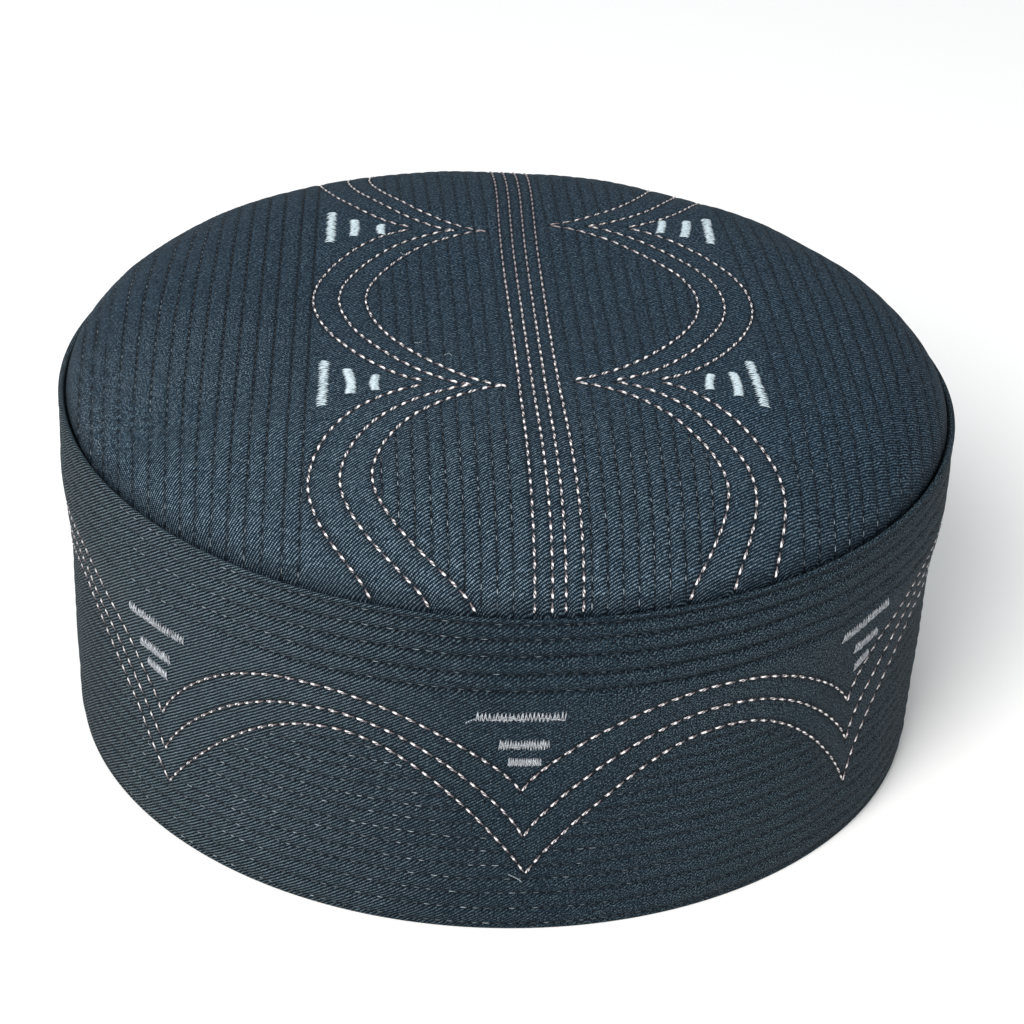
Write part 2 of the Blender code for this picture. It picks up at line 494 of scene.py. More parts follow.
def scallopLines():
    lines = []
    t = np.linspace(0, 1, 241)
    for arch in allArches():
        for line in ("upper", "middle", "lower"):
            start, end = arch["left"][line][0], arch["right"][line][0]
            azimuth = start + ((end - start) % 360) * t
            lines.append(np.stack([np.radians(azimuth) * bandReach, archHeight(arch, line, t)], 1))
    return lines


scallops = scallopLines()
turnLength = 2 * math.pi * bandReach
shiftedScallops = [line + [shift, 0] for line in scallops for shift in (-turnLength, 0, turnLength)]
bandTree = lineTree([line for line in shiftedScallops if np.abs(line[:, 0]).min() < turnLength * 0.55])


def bandRelief(azimuth, height):
    # height of the cloth proud of the plain band, and how strongly painted shade darkens each place in and
    # under the stitched creases
    rows, pattern = bandRows, bandPattern
    azimuth = (np.asarray(azimuth, float) + 180) % 360 - 180
    away, _ = nearestRow(height, np.array(rows["top"]))
    share = np.clip(away / rows["topReach"], 0, 1)
    # the top rows pull in most at the front, least at the sides
    side = np.abs(azimuth)
    pull = rows["sideShare"] + (1 - rows["sideShare"]) * ease(*rows["frontToSide"], side)
    pull = pull + rows["backShare"] * ease(*rows["sideToBack"], side)
    relief = rows["topDepth"] * pull * ((1 - (1 - share) ** 2) ** rows["ribRoundness"] - 1)
    # painted shade on the underside of each top rib, just above the row below it
    over = height - np.array(rows["top"])[:, None]
    under = np.where(over > 0, over, np.inf).min(0)
    shade = rows["underShade"] * np.exp(-((under / rows["underWidth"]) ** 2))
    paintedShade = pull * np.maximum(np.exp(-((away / rows["creaseShadeWidth"]) ** 2)), shade)
    # the low rows run all round, or only under the arches
    away, number = nearestRow(height, np.array(rows["around"] + rows["underArches"]))
    room = scallopHeight(azimuth, "lower") - rows["archClearance"] - height
    sewn = np.where(number < len(rows["around"]), 1.0, ease(*rows["archFade"], room))
    relief -= rows["lowDepth"] * sewn * dipShape(away, rows["lowWidth"])
    paintedShade = np.maximum(paintedShade, rows["lowRowShade"] * sewn * np.exp(-((away / rows["creaseShadeWidth"]) ** 2)))
    near = distanceTo(bandTree, np.stack([np.radians(azimuth) * bandReach, height], 1))
    relief -= pattern["lineDip"] * dipShape(near, pattern["lineDipWidth"])
    # painted shade along each pale scallop line
    line = np.exp(-((near / pattern["lineShadeWidth"]) ** 2))
    return relief, np.maximum(paintedShade, pattern["lineShade"] * line)


def bandBase(azimuth, height, inset=0.0):
    angle = np.radians(np.asarray(azimuth, float) - 90)
    radius = (bandRadius(height) - inset) * planFactor(angle, height)
    return np.stack([radius * np.cos(angle), radius * np.sin(angle), height], 1)


bandSwells = {"band wide": (0.28, 30), "band fine": (0.08, 8)}
bandPuckers = {"height": 0.10, "size": 6, "squash": [1, 1, 0.3], "above": (56, 62), "below": (46, 38)}


def bandUnevenness(spots, height):
    # long swells, and upright puckers in the stitched rows; the bottom edge and the rim stay even
    swells = sum(rise * softWaves(spots, size, seed) for seed, (rise, size) in bandSwells.items())
    sewn = ease(*bandPuckers["above"], height) + ease(*bandPuckers["below"], height)
    waves = softWaves(spots * bandPuckers["squash"], bandPuckers["size"], "band puckers")
    held = ease(0, 6, height) * ease(capForm["bandHeight"], 72, height)
    return (swells + bandPuckers["height"] * waves * sewn) * held


def onBand(azimuth, height):
    azimuth, height = np.asarray(azimuth, float), np.asarray(height, float)
    spots = bandBase(azimuth, height)
    angle = np.radians(azimuth - 90)
    facing = np.stack([np.cos(angle), np.sin(angle), np.zeros(len(angle))], 1)
    relief, _ = bandRelief(azimuth, height)
    rise = relief + bandUnevenness(spots, height)
    return spots + facing * rise[:, None], facing


# Mesh helpers
def deselectAll():
    if bpy.context.object and bpy.context.object.mode != "OBJECT":
        bpy.ops.object.mode_set(mode="OBJECT")
    bpy.ops.object.select_all(action="DESELECT")


def readSpots(piece):
    flat = np.empty(len(piece.data.vertices) * 3)
    piece.data.vertices.foreach_get("co", flat)
    return flat.reshape(-1, 3)


def writeSpots(piece, spots):
    piece.data.vertices.foreach_set("co", np.asarray(spots, float).ravel())
    piece.data.update()


def clothSheet(name, columns, rows):
    # a flat grid of columns by rows points, one unit apart
    deselectAll()
    bpy.ops.mesh.primitive_grid_add(x_subdivisions=columns - 1, y_subdivisions=rows - 1, size=1)
    piece = bpy.context.object
    piece.name = name
    piece.data.name = name
    spots = readSpots(piece)
    spots[:, 0] = np.rint((spots[:, 0] + 0.5) * (columns - 1))
    spots[:, 1] = np.rint((spots[:, 1] + 0.5) * (rows - 1))
    writeSpots(piece, spots)
    return piece


def selectSpots(piece, chosen):
    # in object mode; edit mode then starts with these points selected
    mesh = piece.data
    chosen = np.asarray(chosen, bool)
    ends = np.empty(len(mesh.edges) * 2, int)
    mesh.edges.foreach_get("vertices", ends)
    mesh.vertices.foreach_set("select", chosen)
    mesh.edges.foreach_set("select", chosen[ends.reshape(-1, 2)].all(1))
    faces = faceOfCorner(mesh)
    mesh.polygons.foreach_set("select", np.bincount(faces, ~chosen[cornerNumbers(mesh)]) == 0)


def edgeLoopSpots(piece):
    # which points lie on the sheet's open edge
    bpy.ops.object.mode_set(mode="EDIT")
    bpy.ops.mesh.select_mode(type="EDGE")
    bpy.ops.mesh.select_all(action="DESELECT")
    bpy.ops.mesh.select_non_manifold()
    bpy.ops.object.mode_set(mode="OBJECT")
    chosen = np.empty(len(piece.data.vertices), bool)
    piece.data.vertices.foreach_get("select", chosen)
    return chosen


def closeAndTurnOut(piece, gap):
    bpy.ops.object.mode_set(mode="EDIT")
    bpy.ops.mesh.select_mode(type="VERT")
    bpy.ops.mesh.select_all(action="SELECT")
    bpy.ops.mesh.remove_doubles(threshold=gap)
    bpy.ops.mesh.dissolve_degenerate(threshold=gap * 0.1)
    bpy.ops.mesh.normals_make_consistent(inside=False)
    bpy.ops.object.mode_set(mode="OBJECT")
    bpy.ops.object.shade_smooth()


def cornerNumbers(mesh):
    numbers = np.empty(len(mesh.loops), int)
    mesh.loops.foreach_get("vertex_index", numbers)
    return numbers


def addMap(mesh, name, values):
    # values has one (across, along) pair for each face corner
    layer = mesh.uv_layers.new(name=name, do_init=False)
    layer.uv.foreach_set("vector", np.asarray(values, np.float32).ravel())


def addTone(mesh, name, values):
    mesh.attributes.new(name, "FLOAT", "POINT").data.foreach_set("value", np.asarray(values, np.float32))


def faceOfCorner(mesh):
    totals = np.empty(len(mesh.polygons), int)
    mesh.polygons.foreach_get("loop_total", totals)
    return np.repeat(np.arange(len(totals)), totals)


def faceMeans(mesh, values):
    # mean over each face of a value held by its corners, given back to each corner
    faces = faceOfCorner(mesh)
    sums = np.bincount(faces, values)
    return (sums / np.bincount(faces))[faces]


# Crown cloth
crownCloth = {
    "acrossReach": 1.04,
    "depthReach": 1.02,
    "extraColumns": [-38.0, -34.4, 44.6, 49.0],
    "leastGap": 0.5,
    "columnStep": 0.62,
    "rowStep": 0.66,
    "flatShare": 0.90,
    "trimRounds": 3,
    "domeRings": 14,
    "backRings": 26,
    "backSteps": 240,
    "backShare": 0.975,
}


def crownColumns():
    # columns that follow the quilted rows, with an even number of steps between two rows
    reach = capForm["crownRadius"] * crownCloth["acrossReach"]
    lines = [crownPattern["centreLines"], [-reach, reach], crownCloth["extraColumns"]]
    lines += [innerQuiltLines(side) for side in (-1, 1)] + [outerQuiltLines(side) for side in (-1, 1)]
    stops = np.unique(np.round(np.concatenate(lines), 3))
    wide = np.diff(stops, append=reach + 9) > crownCloth["leastGap"]
    stops = stops[(np.abs(stops) <= reach) & wide]
    places = []
    for low, high in zip(stops, stops[1:]):
        steps = 2 * max(1, round((high - low) / crownCloth["columnStep"] / 2))
        places += list(np.linspace(low, high, steps, endpoint=False))
    return np.array(places + [stops[-1]])


def trimToRound(piece, share):
    # cuts the sheet to the dome's flat part, eats the ragged faces back and draws the edge onto an even curve
    spots = readSpots(piece)
    selectSpots(piece, domeShare(spots[:, 0], spots[:, 1]) > share)
    bpy.ops.object.mode_set(mode="EDIT")
    bpy.ops.mesh.delete(type="VERT")
    bpy.ops.mesh.select_all(action="SELECT")
    bpy.ops.mesh.delete_loose()
    for _ in range(crownCloth["trimRounds"]):
        edge = edgeLoopSpots(piece)
        whole = np.bincount(faceOfCorner(piece.data), ~edge[cornerNumbers(piece.data)]) == 0
        if not whole.any():
            break
        piece.data.polygons.foreach_set("select", whole)
        piece.data.edges.foreach_set("select", np.zeros(len(piece.data.edges), bool))
        piece.data.vertices.foreach_set("select", np.zeros(len(piece.data.vertices), bool))
        bpy.ops.object.mode_set(mode="EDIT")
        bpy.ops.mesh.select_mode(type="FACE")
        bpy.ops.mesh.delete(type="FACE")
        bpy.ops.mesh.select_all(action="SELECT")
        bpy.ops.mesh.delete_loose()
    edge = edgeLoopSpots(piece)
    spots = readSpots(piece)
    grow = np.where(edge, share / np.maximum(domeShare(spots[:, 0], spots[:, 1]), 0.01), 1)
    spots[:, :2] *= grow[:, None]
    writeSpots(piece, spots)


def crownRings():
    # where each ring past the flat part goes: on the dome, down the turned-in edge, and back inside
    form, sizes = capForm, crownCloth
    rings = []
    for number in range(1, sizes["domeRings"] + 1):
        t = math.sin(0.5 * math.pi * number / sizes["domeRings"])
        rings.append({"part": "dome", "share": sizes["flatShare"] + (1 - sizes["flatShare"]) * t})
    turnedRadius = form["outlineRadii"][-1] - form["bandWall"] - form["seamGap"]
    shelf = form["bandWall"] - form["rimLip"]
    turnedTop = form["bandHeight"] - form["seamDrop"] - shelf - 2 * form["seamGap"]
    turnedBottom = turnedTop - form["turnInDepth"]
    lowRadius = float(bandRadius(turnedBottom)) - form["bandWall"] - form["seamGap"]
    rings.append({"part": "edge", "radius": turnedRadius, "height": turnedTop})
    rings.append({"part": "edge", "radius": lowRadius, "height": turnedBottom})
    rings.append({"part": "back", "radius": lowRadius - form["crownWall"], "height": turnedBottom})
    rings.append({"part": "back", "radius": turnedRadius - form["crownWall"], "height": turnedTop})
    for number in range(sizes["backRings"] + 1):
        t = math.sin(0.5 * math.pi * (1 - number / sizes["backRings"]))
        rings.append({"part": "underside", "share": sizes["backShare"] * t})
    return rings


def crownUnderside(share, angle):
    factor = capForm["crownRadius"] * planFactor(angle, capForm["bandHeight"])
    x, y = share * factor * np.cos(angle), share * factor * np.sin(angle)
    spots, facing = crownBase(x, y)
    return spots - facing * capForm["crownWall"]


def stepped(turn, steps):
    # the inside needs fewer points: angles go to the nearest of a few steps, and doubles are merged later
    return np.rint(turn / (2 * math.pi) * steps) * 2 * math.pi / steps


def buildCrown():
    columns = crownColumns()
    reach = capForm["crownRadius"] * crownCloth["depthReach"]
    rows = np.linspace(-reach, reach, int(2 * reach / crownCloth["rowStep"]))
    piece = clothSheet("crown_cloth", len(columns), len(rows))
    spots = readSpots(piece)
    spots[:, 1] = rows[spots[:, 1].astype(int)]
    spots[:, 0] = toPlan(columns[spots[:, 0].astype(int)], spots[:, 1])
    writeSpots(piece, spots)
    trimToRound(piece, crownCloth["flatShare"])

    rings = crownRings()
    edgeLoopSpots(piece)  # leaves the open edge selected
    bpy.ops.object.mode_set(mode="EDIT")
    for _ in rings:  # each ring is marked by its height, one unit a ring
        bpy.ops.mesh.extrude_region_move(TRANSFORM_OT_translate={"value": (0, 0, 1)})
    bpy.ops.object.mode_set(mode="OBJECT")

    spots = readSpots(piece)
    ring = np.rint(spots[:, 2]).astype(int)
    angle = np.arctan2(spots[:, 1], spots[:, 0])
    placed = spots.copy()
    paintedShade = np.zeros(len(spots))
    outer = ring == 0
    planX, planY = spots[:, 0].copy(), spots[:, 1].copy()
    for number, row in enumerate(rings, 1):
        here = ring == number
        turn = angle[here]
        if row["part"] == "dome":
            radius = row["share"] * capForm["crownRadius"] * planFactor(turn, capForm["bandHeight"])
            planX[here], planY[here] = radius * np.cos(turn), radius * np.sin(turn)
            outer |= here
        elif row["part"] == "underside":
            turn = stepped(turn, max(8, round(crownCloth["backSteps"] * row["share"] ** 0.8)))
            placed[here] = crownUnderside(row["share"], turn)
        else:
            if row["part"] == "back":
                turn = stepped(turn, crownCloth["backSteps"])
            radius = row["radius"] * planFactor(turn, row["height"])
            height = np.full(len(turn), row["height"])
            placed[here] = np.stack([radius * np.cos(turn), radius * np.sin(turn), height], 1)
    x, s = toSheet(planX[outer], planY[outer]), planY[outer]
    placed[outer], _ = onCrown(x, s)
    _, paintedShade[outer] = crownRelief(x, s)
    writeSpots(piece, placed * mm)
    addTone(piece.data, "paintedShade", paintedShade)
    closeAndTurnOut(piece, 0.01 * mm)
    return piece


noRow = 9.0  # how far from a row a place counts where nothing is quilted


def mapCrown(piece):
    mesh = piece.data
    corners = cornerNumbers(mesh)
    spots = readSpots(piece)[corners] / mm
    # the weave follows the cloth: its map is spread by the length down the dome and the turned-in edge
    angle = np.arctan2(spots[:, 1], spots[:, 0])
    length = np.interp(domeShare(spots[:, 0], spots[:, 1]), *domeArcTable())
    length += np.clip(capForm["bandHeight"] - capForm["crownEdgeDrop"] - spots[:, 2], 0, None)
    addMap(mesh, "cloth", np.stack([length * np.cos(angle), length * np.sin(angle)], 1))
    # across and along the nearest quilted row; the numbers of a face all come from one row
    x = toSheet(spots[:, 0], spots[:, 1])
    middleX, middleS = faceMeans(mesh, x), faceMeans(mesh, spots[:, 1])
    rows = [lines(side) for side in (-1, 1) for lines in (innerQuiltLines, outerQuiltLines)]
    rows = np.sort(np.concatenate(rows))
    _, number = nearestRow(middleX, rows)
    inside, outside = crownZones(middleX, middleS)
    quilted = np.maximum(inside, outside) > 0.5
    away = np.where(quilted, x - rows[number], noRow)
    offsets = np.array([random.Random(f"row {index}").random() for index in range(len(rows))])
    addMap(mesh, "rows", np.stack([away, spots[:, 1] / crownQuilt["stitch"] + offsets[number]], 1))


# Band cloth
bandCloth = {
    "rimTop": 77.9,
    "rimSteps": 9,
    "columns": 640,
    "rowStep": 0.66,
    "plainStep": 0.85,
    "plainHeights": (42, 61),
    "insideRows": 12,
    "lipDepth": 2.0,
    "insideFrom": {"lip": 1.0, "wall": 1.9},
}


def bandStops():
    # the heights of all the stitched rows
    return sorted(bandRows["top"] + bandRows["around"] + bandRows["underArches"])


def bandProfile():
    # rows up the outside, over the rolled rim, down the inside and along the bottom edge
    form, stops = capForm, bandStops()
    rows = [
        {"height": 0.0, "inset": form["edgeRound"]},
        {"height": 0.15 * form["edgeRound"], "inset": 0.3 * form["edgeRound"]},
        {"height": form["edgeRound"], "inset": 0.0},
    ]
    for low, high in zip(stops, stops[1:]):
        plain = low > bandCloth["plainHeights"][0] and high < bandCloth["plainHeights"][1]
        steps = 2 * max(1, round((high - low) / bandCloth["plainStep" if plain else "rowStep"] / 2))
        rows += [{"height": place, "inset": 0.0} for place in np.linspace(low, high, steps, endpoint=False)]
    rows.append({"height": stops[-1], "inset": 0.0})
    half = 0.5 * form["rimLip"]
    for turn in np.linspace(0, 180, bandCloth["rimSteps"]):
        lift, inward = math.sin(math.radians(turn)), 1 - math.cos(math.radians(turn))
        rows.append({"height": bandCloth["rimTop"] - half * (1 - lift), "inset": half * inward})
    seat = form["bandHeight"] - form["seamDrop"]
    rows.append({"height": seat + form["seamGap"], "inset": form["rimLip"]})
    rows.append({"height": seat - (form["bandWall"] - form["rimLip"]), "inset": form["bandWall"]})
    for place in np.linspace(rows[-1]["height"], form["edgeRound"], bandCloth["insideRows"])[1:]:
        rows.append({"height": place, "inset": form["bandWall"]})
    rows.append({"height": 0.0, "inset": form["bandWall"] - form["edgeRound"]})
    rows.append({"height": 0.0, "inset": form["edgeRound"]})
    return rows


def buildBand():
    rows = bandProfile()
    count = bandCloth["columns"]
    piece = clothSheet("band_cloth", count + 1, len(rows))
    spots = readSpots(piece)
    azimuth = -180 + 360 * spots[:, 0] / count
    number = spots[:, 1].astype(int)
    height = np.array([row["height"] for row in rows])[number]
    inset = np.array([row["inset"] for row in rows])[number]
    placed = bandBase(azimuth, height, inset)
    outer = (inset == 0) & (number > 1)
    placed[outer], _ = onBand(azimuth[outer], height[outer])
    paintedShade = np.zeros(len(spots))
    _, paintedShade[outer] = bandRelief(azimuth[outer], height[outer])
    writeSpots(piece, placed * mm)
    addTone(piece.data, "paintedShade", paintedShade)
    closeAndTurnOut(piece, 0.01 * mm)
    return piece


def alongProfile(spots):
    # length up the outside, over the rolled rim and down the inside, so that the weave keeps its size there
    half = 0.5 * capForm["rimLip"]
    middle = bandCloth["rimTop"] - half
    angle = np.arctan2(spots[:, 1], spots[:, 0])
    height = spots[:, 2]
    inset = bandRadius(height) - np.hypot(spots[:, 0], spots[:, 1]) / planFactor(angle, height)
    over = np.arctan2(np.clip(height - middle, 0, half), half - inset)
    # past the deepest rib a point is on the inside; the lip just under the rim is thinner
    lip = height > capForm["bandHeight"] - bandCloth["lipDepth"]
    deep = inset > np.where(lip, bandCloth["insideFrom"]["lip"], bandCloth["insideFrom"]["wall"])
    inside = (height <= middle) & deep
    length = np.where(height > middle, middle + half * over, height)
    return np.where(inside, 2 * middle + math.pi * half - height, length)


def mapBand(piece):
    mesh = piece.data
    corners = cornerNumbers(mesh)
    spots = readSpots(piece)[corners] / mm
    turn = np.arctan2(spots[:, 0], -spots[:, 1])
    middle = np.arctan2(faceMeans(mesh, spots[:, 0]), -faceMeans(mesh, spots[:, 1]))
    turn = middle + (turn - middle + math.pi) % (2 * math.pi) - math.pi
    around, height = turn * bandReach, spots[:, 2]
    addMap(mesh, "cloth", np.stack([around, alongProfile(spots)], 1))
    # distance from the nearest row that is sewn there; the inside has none
    rows = np.array(bandStops())
    middleHeight = faceMeans(mesh, height)
    _, number = nearestRow(middleHeight, rows)
    room = scallopHeight(np.degrees(middle), "lower") - bandRows["archClearance"] - rows[number]
    lowest = len(bandRows["around"])
    arched = (number >= lowest) & (number < lowest + len(bandRows["underArches"]))
    factor = planFactor(middle - math.pi / 2, middleHeight)
    reach = np.hypot(faceMeans(mesh, spots[:, 0]), faceMeans(mesh, spots[:, 1])) / factor
    outside = reach > bandRadius(middleHeight) - 0.75 * capForm["bandWall"]
    away = np.where((~arched | (room > 0)) & outside, height - rows[number], noRow)
    offsets = np.array([random.Random(f"band row {index}").random() for index in range(len(rows))])
    addMap(mesh, "rows", np.stack([away, around / bandRows["lowStitch"] + offsets[number]], 1))


crown = buildCrown()
mapCrown(crown)
print("crown cloth", len(crown.data.polygons))
band = buildBand()
mapBand(band)
print("band cloth", len(band.data.polygons))


# Threads: one stitch is modelled for each kind and laid many times
def modelStitch(name, sides, steps, twists, flatness, arch, taper, tail=1.0):
    # a short thread along X from 0 to 1; its thickness and arch are in thread radii
    deselectAll()
    bpy.ops.mesh.primitive_cylinder_add(
        vertices=sides, radius=1, depth=1, end_fill_type="TRIFAN", location=(0, 0, 0)
    )
    piece = bpy.context.object
    piece.name = name
    bpy.ops.object.mode_set(mode="EDIT")
    for cut in range(1, steps):
        bpy.ops.mesh.select_all(action="SELECT")
        bpy.ops.mesh.bisect(plane_co=(0, 0, cut / steps - 0.5), plane_no=(0, 0, 1))
    bpy.ops.object.mode_set(mode="OBJECT")
    spots = readSpots(piece)
    along = spots[:, 2] + 0.5
    angle = np.arctan2(spots[:, 1], spots[:, 0])
    rim = np.hypot(spots[:, 0], spots[:, 1]) > 0.5
    spin = angle + 2 * math.pi * twists * along
    section = 1 - flatness * np.sin(spin) ** 2
    ends = np.abs(2 * along - 1)
    radius = rim * section * (1 - taper * ends**4) * (1 - (1 - tail) * ease(0.45, 0.80, along))
    height = arch * (1 - ends**3) - 0.7 * ends**6
    shaped = np.stack([along, radius * np.cos(angle), radius * np.sin(angle) + height], 1)
    writeSpots(piece, shaped)
    mesh = piece.data
    corners = cornerNumbers(mesh)
    around = (angle / (2 * math.pi)) % 1
    middle = faceMeans(mesh, around[corners])
    wrapped = around[corners] + (middle - around[corners] > 0.4) - (around[corners] - middle > 0.4)
    template = {
        "spots": shaped,
        "faces": [list(face.vertices) for face in mesh.polygons],
        "map": np.stack([along[corners], wrapped], 1),
    }
    bpy.data.objects.remove(piece)
    return template


def layStitches(name, template, runs):
    # joins a copy of the modelled stitch for every pair of ends; facing says which way is up
    starts, ends, facing = (
        np.concatenate([run[key] for run in runs]) for key in ("starts", "ends", "facing"))
    tones, lit, radii = (
        np.concatenate([np.full(len(run["starts"]), run[key]) for run in runs])
        for key in ("tones", "lit", "radius"))
    along = ends - starts
    side = np.cross(facing, along)
    side /= np.linalg.norm(side, axis=1)[:, None]
    up = np.cross(along, side)
    up /= np.linalg.norm(up, axis=1)[:, None]
    form = template["spots"]
    count, size = len(starts), len(form)
    spots = starts[:, None, :] + along[:, None, :] * form[None, :, 0:1]
    spots += side[:, None, :] * form[None, :, 1:2] * radii[:, None, None]
    spots += up[:, None, :] * form[None, :, 2:3] * radii[:, None, None]
    corners = [corner for face in template["faces"] for corner in face]
    sizes = [len(face) for face in template["faces"]]
    mesh = bpy.data.meshes.new(name)
    mesh.vertices.add(count * size)
    mesh.loops.add(count * len(corners))
    mesh.polygons.add(count * len(sizes))
    mesh.vertices.foreach_set("co", (spots.reshape(-1, 3) * mm).ravel())
    shift = np.arange(count)[:, None] * size
    mesh.loops.foreach_set("vertex_index", (np.array(corners)[None, :] + shift).ravel())
    firsts = np.concatenate([[0], np.cumsum(sizes)[:-1]])
    firsts = firsts[None, :] + np.arange(count)[:, None] * len(corners)
    mesh.polygons.foreach_set("loop_start", firsts.ravel())
    mesh.update(calc_edges=True)
    mesh.validate()
    mesh.shade_smooth()
    addMap(mesh, "thread", np.tile(template["map"], (count, 1)))
    addTone(mesh, "tone", np.repeat(tones, size))
    addTone(mesh, "lit", np.repeat(lit, size))
    piece = bpy.data.objects.new(name, mesh)
    bpy.context.scene.collection.objects.link(piece)
    deselectAll()
    piece.select_set(True)
    bpy.context.view_layer.objects.active = piece
    bpy.ops.object.mode_set(mode="EDIT")
    bpy.ops.mesh.select_all(action="SELECT")
    bpy.ops.mesh.normals_make_consistent(inside=False)
    bpy.ops.object.mode_set(mode="OBJECT")
    return piece


def sewAlong(place, line, pitch, seed, thread, look):
    # stitches of a steady pitch along a line; place turns the line's two numbers into spots and facings
    pick = random.Random(seed)
    dense = measuredAlong(line, 0.12)
    if len(dense) < 4:
        return []
    spots, facing = place(dense[:, 0], dense[:, 1])
    lengths = np.concatenate([[0], np.cumsum(np.linalg.norm(np.diff(spots, axis=0), axis=1))])
    count = int(lengths[-1] / pitch)
    if count < 1:
        return []
    step = lengths[-1] / count
    cover, wander, ragged = thread["cover"], thread["wander"], thread["ragged"]
    firsts = (np.arange(count) + 0.5 * (1 - cover)) * step
    lasts = firsts + cover * step
    jitter = np.array([pick.uniform(-1, 1) for _ in range(2 * count)]).reshape(count, 2) * wander * step
    firsts, lasts = firsts + jitter[:, 0], lasts + jitter[:, 1]

    def at(places, held):
        return np.stack([np.interp(places, lengths, held[:, axis]) for axis in range(held.shape[1])], 1)

    tones = np.array([pick.random() for _ in range(count)])
    middles = (firsts + lasts) / 2
    measures = look["measures"](*at(middles, dense).T)
    uneven = np.array([1 - pick.random() ** 2 for _ in range(count)])
    lit = shareAt(look["light"], measures) * (1 - ragged * uneven)
    radius = 0.5 * thread["thickness"] * shareAt(look["width"], measures)
    return [{"starts": at(firsts, spots), "ends": at(lasts, spots), "facing": at(middles, facing),
             "tones": tones, "lit": lit, "radius": radius}]


def looseThread(place, points, radius, light):
    # a short free length of thread through a few places, lying on the cloth, with a given painted light
    line = measuredAlong(np.array(points, float), 0.6)
    line = np.concatenate([line, [points[-1]]])
    spots, facing = place(line[:, 0], line[:, 1])
    spots = spots + facing * radius
    middle = 0.5 * (facing[1:] + facing[:-1])
    return {"starts": spots[:-1], "ends": spots[1:], "facing": middle,
            "tones": 0.3, "lit": light, "radius": radius}


# Threads: cover is how much of the pitch shows, wander how far the ends stray, ragged how uneven the painted
# light
patternThread = {"thickness": 0.61, "cover": 0.92, "wander": 0.06, "ragged": 0.16}
centreThread = {"thickness": 0.62, "cover": 0.90, "wander": 0.06, "ragged": 0.16}
scallopThread = {"thickness": 0.56, "cover": 0.92, "wander": 0.08, "ragged": 0.20}
quiltThread = {"thickness": 0.25, "cover": 0.62, "wander": 0.08, "ragged": 0.95}
barThickness = 0.30


def crownMeasures(x, s):
    return {"x": x, "s": s, "fromMiddle": np.abs(x - crownPattern["middle"])}


def bandMeasures(around, height):
    azimuth = aroundToDegrees(around)
    return {"azimuth": azimuth, "side": np.abs(azimuth), "height": height}


# Painted light and width of the threads by place, as shares of the full light or thickness: the light paints
# glints where a thread catches the lamps and painted shade where it turns away. A gain counts as far as its
# changes have come: each is a measure, where the change starts and where it is full.
crownPaleLook = {
    "measures": crownMeasures,
    "light": {"base": 1, "gains": [(-0.62, ("s", -55, 40), ("fromMiddle", 16, 8)), (-0.25, ("s", -10, 60))]},
    "width": {"base": 1, "gains": [(-0.22, ("s", -40, 40))]},
}
crownQuiltLook = {
    "measures": crownMeasures,
    "light": {"base": 0.05, "gains": [(0.80, ("s", -30, -80)), (0.64, ("x", -55, -85))], "largestOnly": True},
    "width": {"base": 1, "gains": [(-0.55, ("s", -75, -15), ("x", -60, -45))]},
}
bandPaleLook = {
    "measures": bandMeasures,
    "light": {"base": 0.92, "gains": [
        (-0.35, ("azimuth", -50, -70)),
        (0.08, ("azimuth", -10, -25)),
        (-0.32, ("azimuth", -66, -75), ("azimuth", -108, -94)),
    ]},
    "width": {"base": 1, "gains": [(-0.28, ("azimuth", -46, -60)), (-0.25, ("azimuth", 40, 54))]},
}
bandQuiltLook = {
    "measures": bandMeasures,
    "light": {"base": 0.04, "gains": [
        (0.80, ("azimuth", 25, -15), ("azimuth", -72, -54)),
        (0.10, ("height", 45, 10), ("azimuth", -65, -50)),
    ]},
    "width": {"base": 1, "gains": [(-0.55, ("side", 54, 68), ("side", 112, 96))]},
}


def shareAt(look, measures):
    gains = []
    for gain, *changes in look["gains"]:
        for measure, begins, full in changes:
            gain = gain * ease(begins, full, measures[measure])
        gains.append(gain)
    if look.get("largestOnly"):
        gains = [np.maximum(*gains)]
    share = look["base"]
    for gain in gains:
        share = share + gain
    return share


patternStitch = modelStitch(
    "pattern_stitch", sides=6, steps=8, twists=1.25, flatness=0.25, arch=0.85, taper=0.40, tail=0.62)
quiltStitch = modelStitch("quilt_stitch", sides=4, steps=4, twists=0.0, flatness=0.0, arch=0.55, taper=0.45)
barStitch = modelStitch("bar_stitch", sides=5, steps=5, twists=0.0, flatness=0.0, arch=1.2, taper=0.30)


# Short thread ends left lying on the cloth: (x, s) on the crown, (azimuth, height) on the band
looseEnds = [
    # light is each end's painted light: the pale ends get a painted glint, the dark tie-offs none
    {"on": "crown", "radius": 0.09, "light": 0.9, "points": [(-23.1, 22.7), (-22.2, 21.7), (-21.1, 22.7)]},
    {"on": "crown", "radius": 0.09, "light": 0.9, "points": [(-21.6, -20.9), (-20.8, -21.6), (-19.9, -20.9)]},
    {"on": "crown", "radius": 0.09, "light": 0.9, "points": [(-15.5, -26.8), (-14.4, -26.3), (-13.9, -27.7)]},
    {"on": "band", "radius": 0.13, "light": 1.0, "points": [(-1.6, 14.7), (-0.7, 13.7), (0.2, 12.4)]},
    {"on": "band", "radius": 0.16, "light": 1.3,
     "points": [(-7.6, 52.5), (-7.0, 53.3), (-6.3, 53.9), (-5.7, 54.9)]},
    {"on": "band", "radius": 0.15, "light": 0.0, "points": [(33.4, 39.8), (33.6, 37.9)]},
    {"on": "band", "radius": 0.15, "light": 0.0, "points": [(37.7, 34.4), (38.2, 32.2)]},
    {"on": "band", "radius": 0.15, "light": 0.0, "points": [(41.0, 29.0), (41.1, 27.1)]},
    {"on": "band", "radius": 0.15, "light": 0.0, "points": [(-6.5, 27.1), (-6.4, 25.1)]},
    {"on": "band", "radius": 0.15, "light": 0.0, "points": [(-9.7, 32.6), (-9.5, 31.1)]},
]


